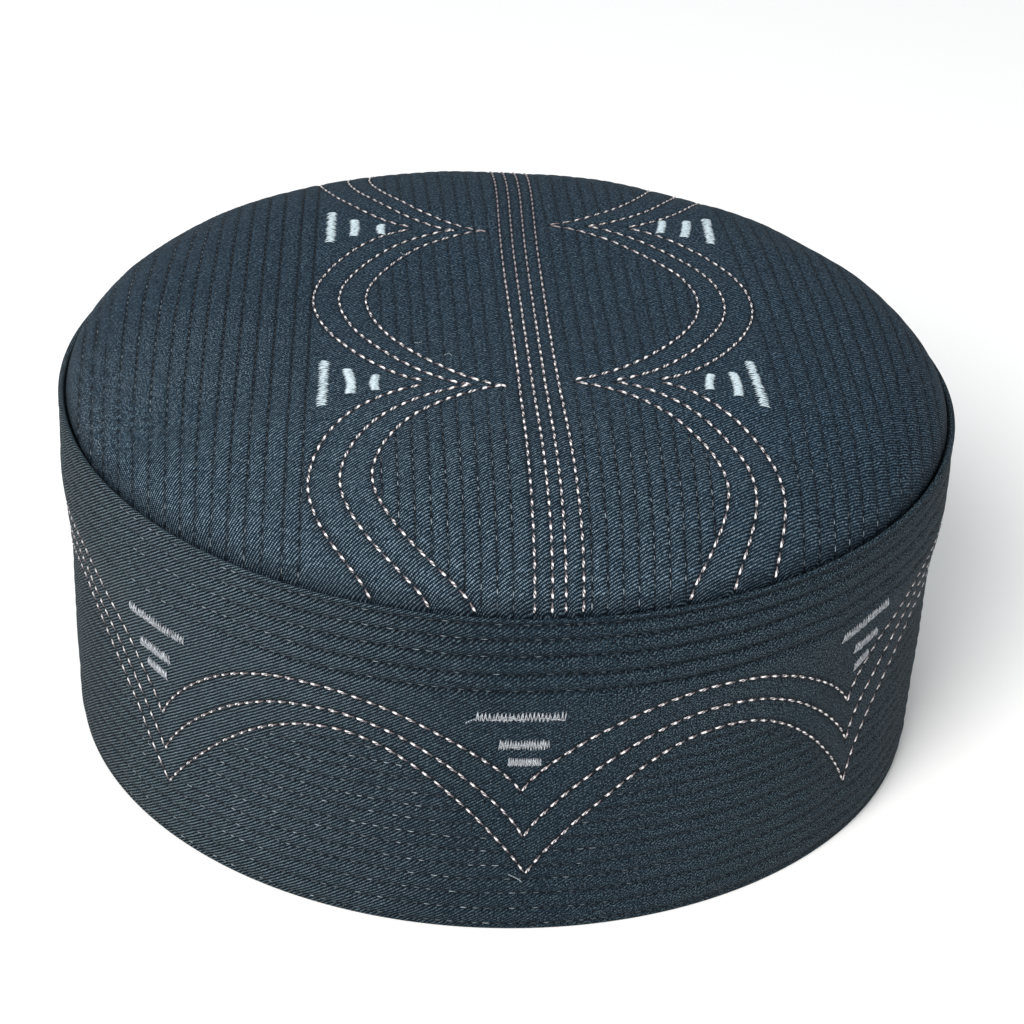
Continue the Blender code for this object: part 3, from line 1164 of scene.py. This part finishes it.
def crownRowLines():
    # the quilted rows as (x, s) lines on the sheet, cut to their zones
    lines = []
    s = np.linspace(-99, 99, 397)
    inner = crownPattern["arcs"][0]
    for side in (-1, 1):
        for place in outerQuiltLines(side):
            lines.append(insideSeam(np.stack([np.full(len(s), place), s], 1)))
        for place in innerQuiltLines(side):
            for lobe in crownPattern["lobes"]:
                x = np.full(len(s), place)
                held = lobeField(x, s, inner, lobe, side) < 1
                line = np.stack([x[held], s[held]], 1)[3:-3]
                if len(line) > 12:
                    lines.append(insideSeam(line))
    return [line for line in lines if len(line) > 12]


def sewCrown():
    pale = []
    for number, line in enumerate(patternLines):
        pitch = crownPattern[line["kind"] + "Stitch"]
        thread = centreThread if line["kind"] == "centre" else patternThread
        pale += sewAlong(onCrown, line["points"], pitch, f"crown {number}", thread, crownPaleLook)
    quilting = []
    for number, line in enumerate(crownRowLines()):
        quilting += sewAlong(
            onCrown, line, crownQuilt["stitch"], f"quilt {number}", quiltThread, crownQuiltLook)
    for row in looseEnds:
        if row["on"] == "crown":
            quilting.append(looseThread(onCrown, row["points"], row["radius"], row["light"]))
    return (
        layStitches("crown_pattern_thread", patternStitch, pale),
        layStitches("crown_quilting_thread", quiltStitch, quilting),
    )


def placeOnBand(around, height):
    return onBand(aroundToDegrees(around), height)


def bandRowLines():
    lines = []
    around = np.linspace(-turnLength / 2, turnLength / 2, 2400)
    azimuth = aroundToDegrees(around)
    for kind, heights in (("top", bandRows["top"]), ("low", bandRows["around"])):
        for height in heights:
            lines.append({"kind": kind, "points": np.stack([around, np.full(len(around), height)], 1)})
    below = scallopHeight(azimuth, "lower") - bandRows["archClearance"]
    for height in bandRows["underArches"]:
        inside = height < below
        cuts = np.flatnonzero(np.diff(inside.astype(int))) + 1
        for part in np.split(np.arange(len(around)), cuts):
            if inside[part[0]] and len(part) > 12:
                level = np.full(len(part), height)
                lines.append({"kind": "low", "points": np.stack([around[part], level], 1)})
    return lines


def sewBand():
    pale = []
    for number, line in enumerate(scallops):
        pale += sewAlong(
            placeOnBand, line, bandPattern["stitch"], f"scallop {number}", scallopThread, bandPaleLook)
    quilting = []
    for number, line in enumerate(bandRowLines()):
        pitch = bandRows[line["kind"] + "Stitch"]
        quilting += sewAlong(
            placeOnBand, line["points"], pitch, f"band row {number}", quiltThread, bandQuiltLook)
    for row in looseEnds:
        if row["on"] == "band":
            points = [(math.radians(azimuth) * bandReach, height) for azimuth, height in row["points"]]
            quilting.append(looseThread(placeOnBand, points, row["radius"], row["light"]))
    return (
        layStitches("band_pattern_thread", patternStitch, pale),
        layStitches("band_quilting_thread", quiltStitch, quilting),
    )


# Bars: short threads laid across, from an open zigzag to a close satin. Crown bars run from one s to another.
crownBars = [
    {"x": -38.1, "lean": 0.4, "bend": 0.0, "from": 45.4, "to": 28.9, "width": 2.3, "kind": "open"},
    {"x": -32.9, "lean": 0.2, "bend": 0.3, "from": 40.6, "to": 32.0, "width": 2.2, "kind": "close"},
    {"x": -26.9, "lean": 0.0, "bend": -0.3, "from": 38.0, "to": 32.9, "width": 2.0, "kind": "close"},
    {"x": -41.2, "lean": 0.45, "bend": 0.1, "from": -29.3, "to": -47.2, "width": 2.3, "kind": "open"},
    {"x": -35.7, "lean": -0.25, "bend": 0.45, "from": -32.9, "to": -42.7, "width": 2.3, "kind": "close"},
    {"x": -30.4, "lean": 0.15, "bend": -0.45, "from": -35.4, "to": -41.6, "width": 2.1, "kind": "close"},
    {"x": 48.1, "lean": 0.4, "bend": 0.0, "from": 47.9, "to": 31.2, "width": 2.3, "kind": "open"},
    {"x": 42.8, "lean": 0.8, "bend": 0.25, "from": 44.5, "to": 34.4, "width": 2.2, "kind": "close"},
    {"x": 37.2, "lean": 0.6, "bend": 0.3, "from": 43.2, "to": 36.1, "width": 2.0, "kind": "close"},
    {"x": 50.2, "lean": -0.6, "bend": 0.0, "from": -26.7, "to": -44.7, "width": 2.3, "kind": "open"},
    {"x": 45.6, "lean": -0.1, "bend": 0.35, "from": -32.0, "to": -41.7, "width": 2.2, "kind": "close"},
    {"x": 40.0, "lean": 0.5, "bend": -0.3, "from": -33.5, "to": -40.1, "width": 2.1, "kind": "close"},
]

# azimuths in degrees and heights at the two ends of each band bar
shownBars = [
    {"name": "left long", "from": (-57.0, 53.3), "to": (-45.8, 53.4), "height": 2.4, "kind": "open"},
    {"name": "left medium", "from": (-55.2, 45.8), "to": (-49.0, 45.8), "height": 2.4, "kind": "loose"},
    {"name": "left short", "from": (-53.7, 41.9), "to": (-49.8, 41.3), "height": 2.1, "kind": "close"},
    {"name": "front long", "from": (-6.4, 54.3), "to": (4.3, 54.5), "height": 2.4, "kind": "open"},
    {"name": "front medium", "from": (-3.5, 47.1), "to": (2.6, 47.2), "height": 2.4, "kind": "loose"},
    {"name": "front short", "from": (-2.3, 42.8), "to": (1.7, 42.8), "height": 2.1, "kind": "close"},
    {"name": "right long", "from": (43.6, 56.1), "to": (53.2, 58.2), "height": 2.4, "kind": "open"},
    {"name": "right medium", "from": (47.2, 50.5), "to": (52.0, 51.7), "height": 2.4, "kind": "loose"},
    {"name": "right short", "from": (47.8, 45.4), "to": (50.7, 47.1), "height": 2.1, "kind": "close"},
]


def allBandBars():
    # the hidden Vs carry the front V's set of bars
    bars = list(shownBars)
    for number, v in enumerate(allVs()[len(bandPattern["shownVs"]):]):
        for row in shownBars[3:6]:
            bar = {**row, "name": f"{row['name']} {number}"}
            for end in ("from", "to"):
                bar[end] = (row[end][0] + v["upper"][0], row[end][1])
            bars.append(bar)
    return bars


barKinds = {
    "open": {"step": 0.40, "ragged": 0.18, "lean": 0.5, "strands": 4},
    "loose": {"step": 0.27, "ragged": 0.20, "lean": 0.5, "strands": 4},
    "close": {"step": 0.22, "ragged": 0.12, "lean": 0.35, "strands": 2},
}
barStrand = {
    "starts": (0, 0.7),
    "length": (0.12, 0.4),
    "drift": (-0.38, 0.38),
    "thickness": 0.84,
    "lift": 0.22,
}


def zigzag(length, width, kind, pick):
    # ends of the threads across a bar: along it from 0 to its length, across it about its middle
    sizes = barKinds[kind]
    step, stray = sizes["step"], 0.3
    count = max(4, int(length / step))
    firsts, lasts = [], []
    side = 1
    for number in range(count):
        along = (number + 0.5) / count * length
        near = along - sizes["lean"] * step + pick.uniform(-stray, stray) * step
        far = along + sizes["lean"] * step + pick.uniform(-stray, stray) * step
        reach = [0.5 * width * (1 + sizes["ragged"] * pick.uniform(-1.6, 1)) for _ in range(2)]
        firsts.append((near, -side * reach[0]))
        lasts.append((far, side * reach[1]))
        side = -side
    return np.array(firsts), np.array(lasts)


def barRun(place, firsts, lasts, pick, radius, rise=0.0):
    # threads from the first spots to the last ones, each lifted a little over the ones below
    starts, facing = place(firsts)
    ends, _ = place(lasts)
    tones = np.array([pick.random() for _ in firsts])
    lift = np.array([rise + pick.uniform(0.0, 0.12 - 0.4 * rise) for _ in firsts])[:, None] * facing
    return {"starts": starts + lift, "ends": ends + lift, "facing": facing, "tones": tones, "lit": 1.0,
            "radius": radius}


def sewCrownBars():
    runs = []
    for number, bar in enumerate(crownBars):
        pick = random.Random(f"crown bar {number}")
        length = abs(bar["to"] - bar["from"])
        way = math.copysign(1, bar["to"] - bar["from"])
        firsts, lasts = zigzag(length, bar["width"], bar["kind"], pick)

        def place(spots):
            s = bar["from"] + way * spots[:, 0]
            t = 2 * spots[:, 0] / length - 1
            x = bar["x"] + spots[:, 1] - bar["lean"] * t + bar["bend"] * (0.5 - t * t)
            return onCrown(toSheet(x, s), s)

        runs.append(barRun(place, firsts, lasts, pick, barThickness / 2))
    return layStitches("crown_bars", barStitch, runs)


def sewBandBars():
    runs = []
    for bar in allBandBars():
        pick = random.Random(f"band bar {bar['name']}")
        start, end = ((math.radians(bar[key][0]) * bandReach, bar[key][1]) for key in ("from", "to"))
        length = math.hypot(end[0] - start[0], end[1] - start[1])
        firsts, lasts = zigzag(length, bar["height"], bar["kind"], pick)

        def place(spots):
            share = spots[:, 0] / length
            height = start[1] + (end[1] - start[1]) * share + spots[:, 1]
            return placeOnBand(start[0] + (end[0] - start[0]) * share, height)

        runs.append(barRun(place, firsts, lasts, pick, barThickness / 2))
        # a few strands run along the bar, over the zigzag
        for _ in range(barKinds[bar["kind"]]["strands"]):
            begin = pick.uniform(*barStrand["starts"]) * length
            reach = min(length, begin + pick.uniform(*barStrand["length"]) * length)
            drift = [pick.uniform(*barStrand["drift"]) * bar["height"] for _ in range(2)]
            strand = np.stack([np.linspace(begin, reach, 4), np.linspace(*drift, 4)], 1)
            radius = barThickness / 2 * barStrand["thickness"]
            runs.append(barRun(place, strand[:-1], strand[1:], pick, radius, barStrand["lift"]))
    return layStitches("band_bars", barStitch, runs)


crownThread, crownQuilting = sewCrown()
bandThread, bandQuilting = sewBand()
crownBarPiece, bandBarPiece = sewCrownBars(), sewBandBars()
for piece in (crownThread, crownQuilting, bandThread, bandQuilting, crownBarPiece, bandBarPiece):
    print(piece.name, len(piece.data.polygons))


# Materials
class Wire:
    # a socket that plain arithmetic works on
    def __init__(self, finish, socket):
        self.finish, self.socket = finish, socket

    def __add__(self, other):
        return self.finish.maths("ADD", self, other)

    def __sub__(self, other):
        return self.finish.maths("SUBTRACT", self, other)

    def __rsub__(self, other):
        return self.finish.maths("SUBTRACT", other, self)

    def __mul__(self, other):
        return self.finish.maths("MULTIPLY", self, other)

    def __truediv__(self, other):
        return self.finish.maths("DIVIDE", self, other)

    __radd__, __rmul__ = __add__, __mul__


class Finish:
    # one material and the nodes in it
    def __init__(self, name, **constants):
        self.material = bpy.data.materials.new(name)
        self.material.use_nodes = True
        self.tree = self.material.node_tree
        self.shader = self.tree.nodes["Principled BSDF"]
        for socket, value in constants.items():
            self.shader.inputs[socket.replace("_", " ")].default_value = value

    def node(self, kind, settings=None, sockets=None, output=0):
        made = self.tree.nodes.new(kind)
        for key, value in (settings or {}).items():
            setattr(made, key, value)
        for key, value in (sockets or {}).items():
            if isinstance(value, Wire):
                self.tree.links.new(value.socket, made.inputs[key])
            else:
                made.inputs[key].default_value = value
        return Wire(self, made.outputs[output])

    def maths(self, operation, *values):
        return self.node("ShaderNodeMath", {"operation": operation}, dict(enumerate(values)))

    def wave(self, turns):
        # 0 to 1 and back once a turn
        return self.maths("SINE", turns * (2 * math.pi)) * 0.5 + 0.5

    def split(self, vector):
        # the first two parts of a vector
        first = self.node("ShaderNodeSeparateXYZ", None, {0: vector})
        return first, Wire(self, first.socket.node.outputs[1])

    def join(self, first, second):
        return self.node("ShaderNodeCombineXYZ", None, {0: first, 1: second})

    def uv(self, name):
        return self.node("ShaderNodeUVMap", {"uv_map": name})

    def solid(self):
        # the object's own coordinates
        return self.node("ShaderNodeTexCoord", output=3)

    def painted(self, name):
        # a number kept on the mesh
        return self.node("ShaderNodeAttribute", {"attribute_name": name}, output=2)

    def rise(self, value, low, high):
        # 0 at low, 1 at high
        return self.node("ShaderNodeMapRange", {"interpolation_type": "SMOOTHSTEP"},
                         {"Value": value, "From Min": low, "From Max": high})

    def blend(self, share, first, second, way="MIX"):
        return self.node("ShaderNodeMix", {"data_type": "RGBA", "blend_type": way},
                         {0: share, 6: first, 7: second}, output=2)

    def noise(self, where, scale, detail=2.0):
        return self.node("ShaderNodeTexNoise", {"noise_dimensions": "3D"},
                         {"Vector": where, "Scale": scale, "Detail": detail, "Roughness": 0.5})

    def bump(self, strength, distance, height):
        return self.node(
            "ShaderNodeBump", None, {"Strength": strength, "Distance": distance, "Height": height})

    def shape(self, **links):
        # joins the wires to the shader, and gives the material
        for socket, wire in links.items():
            self.tree.links.new(wire.socket, self.shader.inputs[socket.replace("_", " ")])
        return self.material


def rgb(red, green, blue):
    return (red, green, blue, 1.0)


# The twill's sizes are in millimetres on the map; pairs are where a change starts and where it is full
twill = {
    "pitch": 0.635,
    "bead": 0.42,
    "beadShift": 0.381,
    "driftWide": (110.0, 0.4),
    "driftNear": (0.9, 0.38),
    "lengthScale": (1.1, 0.22),
    "speckScale": 2.0,
    "pepperScale": 3.4,
    "patchScale": 28.0,
    "unevenScale": 260.0,
    "lightReach": (0.0, 0.11),
    "pressedSide": (-0.028, -0.062),
    "pressedFront": (0.018, -0.012),
    "pressedBack": (-0.055, -0.032),
    "rightReach": (-0.03, 0.05),
    "bodyFrom": (0.18, 0.56),
    "lightFrom": (0.50, 1.15),
    "patchFrom": (0.3, 0.7),
    # creaseShade, the line widths and the hole colour set painted shade in the stitched creases and needle
    # holes
    "creaseShade": 0.64,
    "lineWidth": (0.32, 0.06),
    "holeWidth": (0.32, 0.12),
    "holeLength": (0.39, 0.47),
    "holeShade": 0.7,
    "dark": rgb(0.0012, 0.0035, 0.0060),
    "body": rgb(0.0185, 0.043, 0.066),
    "light": rgb(0.265, 0.325, 0.350),
    "patch": rgb(0.02, 0.034, 0.046),
    "hole": rgb(0.0015, 0.002, 0.003),
    "relief": 0.00009,
}

# plain and full are the wales' contrast away from the light and towards it, where a painted sheen lightens
# them; pressed is how far they flatten
crownTwill = {
    "name": "crown_twill",
    "wale": 36,
    "beads": 0.45,
    "creaseShadeLine": 1.0,
    "squeeze": 0.70,
    "plain": 0.65,
    "full": 0.97,
    "pressed": 0.30,
    "leftPepper": 2.3,
    "rightPepper": 0.0,
    "towards": (-0.38, -1.0),
    "tintAndShade": rgb(0.81, 0.885, 0.97),
}
bandTwill = {
    "name": "band_twill",
    "wale": 34.5,
    "beads": 0.35,
    "creaseShadeLine": 0.4,
    "squeeze": 1.0,
    "plain": 0.34,
    "full": 1.40,
    "pressed": 0.0,
    "leftPepper": 0.0,
    "rightPepper": 3.0,
    "towards": (-1.165, -0.324),
    "tintAndShade": rgb(0.453, 0.51, 0.545),
}


def twillFinish(weave):
    # raised wales with deep dark grooves between them, and painted shade in the stitched creases and needle
    # holes
    cloth = Finish(weave["name"], Roughness=0.8, Specular_IOR_Level=0.12)
    where, solid = cloth.uv("cloth"), cloth.solid()
    a, b = cloth.split(where)
    slant = math.radians(weave["wale"])
    wide, near = twill["driftWide"], twill["driftNear"]
    drift = cloth.noise(solid, wide[0], 1.0) * wide[1] + cloth.noise(where, near[0], 2.0) * near[1]
    across = (b * math.cos(slant) - a * math.sin(slant)) / twill["pitch"] + drift
    along = (a * math.cos(slant) + b * math.sin(slant)) / twill["bead"]
    ridge = cloth.wave(across)
    number = cloth.maths("FLOOR", across + 0.25)
    beat = cloth.wave(along + number * twill["beadShift"])
    floats = ridge * (beat * weave["beads"] + (1.0 - weave["beads"]))
    # each wale is broken into lighter and darker lengths, with fine specks over it
    stretched = cloth.join(across * twill["lengthScale"][0], along * twill["lengthScale"][1])
    lengths = cloth.noise(stretched, 1.0, 1.0)
    speck = cloth.noise(cloth.join(a, b * weave["squeeze"]), twill["speckScale"], 2.0)
    pepper = cloth.noise(where, twill["pepperScale"], 0.0)
    side, depth = cloth.split(solid)
    # painted sheen: the side of the cap towards the key light gets lighter, more contrasty wales
    paintedSheen = cloth.rise(side * weave["towards"][0] + depth * weave["towards"][1], *twill["lightReach"])
    # towards the left of the crown the wales are pressed flat and the weave shows as specks
    pressed = cloth.rise(side, *twill["pressedSide"])
    pressed = pressed * cloth.rise(depth, *twill["pressedFront"]) * cloth.rise(depth, *twill["pressedBack"])
    peppered = pressed * weave["leftPepper"] + cloth.rise(side, *twill["rightReach"]) * weave["rightPepper"]
    patch = cloth.noise(solid, twill["patchScale"], 2.0)
    uneven = cloth.noise(solid, twill["unevenScale"], 1.0)
    raised = paintedSheen * (weave["full"] - weave["plain"]) + weave["plain"]
    raised = raised * (1.0 - pressed * weave["pressed"])
    tone = (floats - 0.45) * raised + 0.45 + (speck - 0.5) * (1.60 - paintedSheen * 0.5) + (pepper - 0.5) * peppered
    tone = tone + (lengths - 0.5) * 0.45 + (uneven - 0.5) * 0.15 - pressed * 0.05
    colour = cloth.blend(cloth.rise(tone, *twill["bodyFrom"]), twill["dark"], twill["body"])
    colour = cloth.blend(cloth.rise(tone, *twill["lightFrom"]) * (paintedSheen * 0.58 + 0.60), colour, twill["light"])
    colour = cloth.blend(cloth.rise(patch, *twill["patchFrom"]) * 0.12, colour, twill["patch"])
    # painted shade: the stitched creases are darkened, and the needle holes along them darker still
    paintedShade = cloth.painted("paintedShade")
    colour = cloth.blend(cloth.maths("MINIMUM", paintedShade * twill["creaseShade"], 0.90), colour, twill["dark"])
    away, beatRow = cloth.split(cloth.uv("rows"))
    away = cloth.maths("ABSOLUTE", away)
    seam = cloth.rise(away, *twill["lineWidth"])
    colour = cloth.blend(seam * paintedShade * weave["creaseShadeLine"], colour, twill["dark"])
    gap = cloth.maths("ABSOLUTE", cloth.maths("FRACT", beatRow) - 0.5)
    hole = cloth.rise(away, *twill["holeWidth"]) * cloth.rise(gap, *twill["holeLength"])
    colour = cloth.blend(hole * twill["holeShade"], colour, twill["hole"])
    # the tint multiplies in the cloth's colour; the band's darker tint is also painted shade, as the same
    # twill stands upright there
    colour = cloth.blend(1.0, colour, weave["tintAndShade"], "MULTIPLY")
    bump = cloth.bump(1.0, twill["relief"], floats + speck * 0.5 - hole * 1.2)
    return cloth.shape(Base_Color=colour, Normal=bump)


# Thread looks: tail and endShade are how dark the thread goes past its middle and at its ends, partly a
# darker ply and partly painted shade
patternLook = {
    "name": "pattern_thread",
    "pale": rgb(0.97, 0.94, 0.95),
    "shade": rgb(0.060, 0.043, 0.050),
    "unlitColour": rgb(0.15, 0.115, 0.13),
    "twists": 1.0,
    "tail": 0.94,
    "endShade": 0.97,
    "roughness": 0.34,
    "fade": 0.08,
    "shine": 0.5,
}
# for the quilting thread, pale is the colour of its painted glints
quiltLook = {
    "name": "quilting_thread",
    "pale": rgb(0.34, 0.40, 0.44),
    "shade": rgb(0.10, 0.13, 0.15),
    "unlitColour": rgb(0.006, 0.011, 0.016),
    "twists": 1.5,
    "tail": 0.2,
    "endShade": 0.6,
    "roughness": 0.50,
    "fade": 0.22,
    "shine": 0.15,
}
crownBarLook = {
    "name": "crown_bar_thread",
    "pale": rgb(0.50, 0.60, 0.65),
    "shade": rgb(0.22, 0.28, 0.32),
    "unlitColour": rgb(0.2, 0.26, 0.3),
    "twists": 1.0,
    "tail": 0.1,
    "endShade": 0.5,
    "roughness": 0.42,
    "fade": 0.22,
    "shine": 0.5,
}
bandBarLook = {
    "name": "band_bar_thread",
    "pale": rgb(0.46, 0.49, 0.53),
    "shade": rgb(0.085, 0.095, 0.11),
    "unlitColour": rgb(0.1, 0.13, 0.15),
    "twists": 1.0,
    "tail": 0.1,
    "endShade": 0.5,
    "roughness": 0.45,
    "fade": 0.75,
    "shine": 0.5,
}
threadDark = rgb(0.012, 0.010, 0.012)


def threadFinish(look):
    # two plies wound together, with painted shade where the thread dives into the cloth; lit is painted
    # light, and stitches with little of it take the unlit colour
    shine = look["shine"]
    thread = Finish(
        look["name"], Roughness=look["roughness"], Specular_IOR_Level=shine, Sheen_Weight=0.2 * shine)
    along, around = thread.split(thread.uv("thread"))
    tone, lit = thread.painted("tone"), thread.painted("lit")
    ply = thread.wave(around + along * look["twists"] + tone * 0.6)
    colour = thread.blend(thread.rise(ply, 0.0, 0.34), look["shade"], look["pale"])
    # past its middle the thread goes to its shade colour: partly the darker ply, partly painted shade where
    # the stitch dips away
    dive = thread.rise(along + tone * 0.20, 0.56, 0.70)
    colour = thread.blend(dive * look["tail"], colour, look["shade"])
    colour = thread.blend(lit, look["unlitColour"], colour)
    # painted shade at both ends, where the thread dives into the cloth
    end = thread.rise(thread.maths("ABSOLUTE", along - 0.5), 0.32, 0.46)
    colour = thread.blend(end * look["endShade"], colour, threadDark)
    colour = thread.blend(tone * look["fade"], colour, look["shade"])
    fibre = thread.noise(thread.solid(), 2600.0, 1.0)
    bump = thread.bump(0.5, 0.00005, ply + fibre * 0.5)
    return thread.shape(Base_Color=colour, Normal=bump)


palePattern, darkQuilting = threadFinish(patternLook), threadFinish(quiltLook)
pieceFinishes = [
    (crown, twillFinish(crownTwill), "crown_twill"),
    (band, twillFinish(bandTwill), "band_twill"),
    (crownThread, palePattern, "pattern_thread"),
    (bandThread, palePattern, "pattern_thread"),
    (crownQuilting, darkQuilting, "quilting_thread"),
    (bandQuilting, darkQuilting, "quilting_thread"),
    (crownBarPiece, threadFinish(crownBarLook), "bar_thread"),
    (bandBarPiece, threadFinish(bandBarLook), "bar_thread"),
]
for piece, finish, slot in pieceFinishes:
    piece.data.materials.append(finish)
    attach(piece, "root")
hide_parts("crown")
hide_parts("side_band")
print("materials and slots set")

# Floor, light and camera
studio = {
    "floorSize": 6.0,
    "floorTone": rgb(0.93, 0.93, 0.93),
    "floorPatches": rgb(0.96, 0.96, 0.96),
    "aim": (0, 0, 0.04),
    "worldLight": 0.41,
    "lights": [
        {"name": "key", "from": (-0.50, -1.03, 1.00), "size": 0.8, "watts": 28.0, "tone": (1.0, 0.99, 0.97)},
        {"name": "fill", "from": (0.7, 0.1, 1.4), "size": 1.4, "watts": 4.5, "tone": (0.95, 0.98, 1.0)},
        {"name": "back", "from": (-0.5, 0.9, 1.0), "size": 0.9, "watts": 2.5, "tone": (0.80, 0.92, 1.0)},
    ],
}

photoCamera = {
    "lens": 127.06,
    "distance": 0.81718,
    "elevation": 29.615,
    "roll": 2.755,
    "turn": -4.9,
    "aimHeight": 0.0393,
    "aimSide": -0.00304,
    "aimUp": -0.00587,
}


def layFloor():
    deselectAll()
    bpy.ops.mesh.primitive_plane_add(size=studio["floorSize"], location=(0, 0, -0.0001))
    floor = bpy.context.object
    floor.name = "floor"
    finish = Finish("pale_floor", Roughness=0.9, Specular_IOR_Level=0.1)
    faint = finish.noise(finish.solid(), 3.0)
    colour = finish.blend(faint * 0.1, studio["floorTone"], studio["floorPatches"])
    floor.data.materials.append(finish.shape(Base_Color=colour))


def setLights():
    world = bpy.data.worlds.new("soft_studio")
    bpy.context.scene.world = world
    world.use_nodes = True
    world.node_tree.nodes["Background"].inputs[0].default_value = rgb(1.0, 1.0, 1.0)
    world.node_tree.nodes["Background"].inputs[1].default_value = studio["worldLight"]
    for row in studio["lights"]:
        light = bpy.data.lights.new(row["name"], "AREA")
        light.shape = "DISK"
        light.size, light.energy, light.color = row["size"], row["watts"], row["tone"]
        lamp = bpy.data.objects.new(row["name"], light)
        bpy.context.scene.collection.objects.link(lamp)
        lamp.location = row["from"]
        away = np.array(row["from"]) - np.array(studio["aim"])
        lamp.rotation_euler = (
            math.atan2(math.hypot(away[0], away[1]), away[2]), 0, math.atan2(away[0], -away[1]))


def setCamera():
    look = photoCamera
    rise, roll = math.radians(look["elevation"]), math.radians(look["roll"])
    right = np.array([1.0, 0, 0])
    forward = np.array([0, math.cos(rise), -math.sin(rise)])
    up = np.array([0, math.sin(rise), math.cos(rise)])
    right, up = math.cos(roll) * right + math.sin(roll) * up, math.cos(roll) * up - math.sin(roll) * right
    place = -look["distance"] * forward + [0, 0, look["aimHeight"]]
    place = place - look["aimSide"] * right - look["aimUp"] * up
    axes = Matrix([list(row) for row in np.stack([right, up, -forward], 1)]).to_4x4()
    camera = bpy.data.objects.new("camera", bpy.data.cameras.new("camera"))
    camera.data.lens = look["lens"]
    camera.data.sensor_width = 36
    camera.data.clip_start = 0.01
    turned = Matrix.Rotation(math.radians(look["turn"]), 4, "Z")
    camera.matrix_world = turned @ Matrix.Translation(place) @ axes
    bpy.context.scene.collection.objects.link(camera)
    bpy.context.scene.camera = camera


layFloor()
setLights()
setCamera()
bpy.context.scene.view_settings.view_transform = "Standard"
print("studio set")
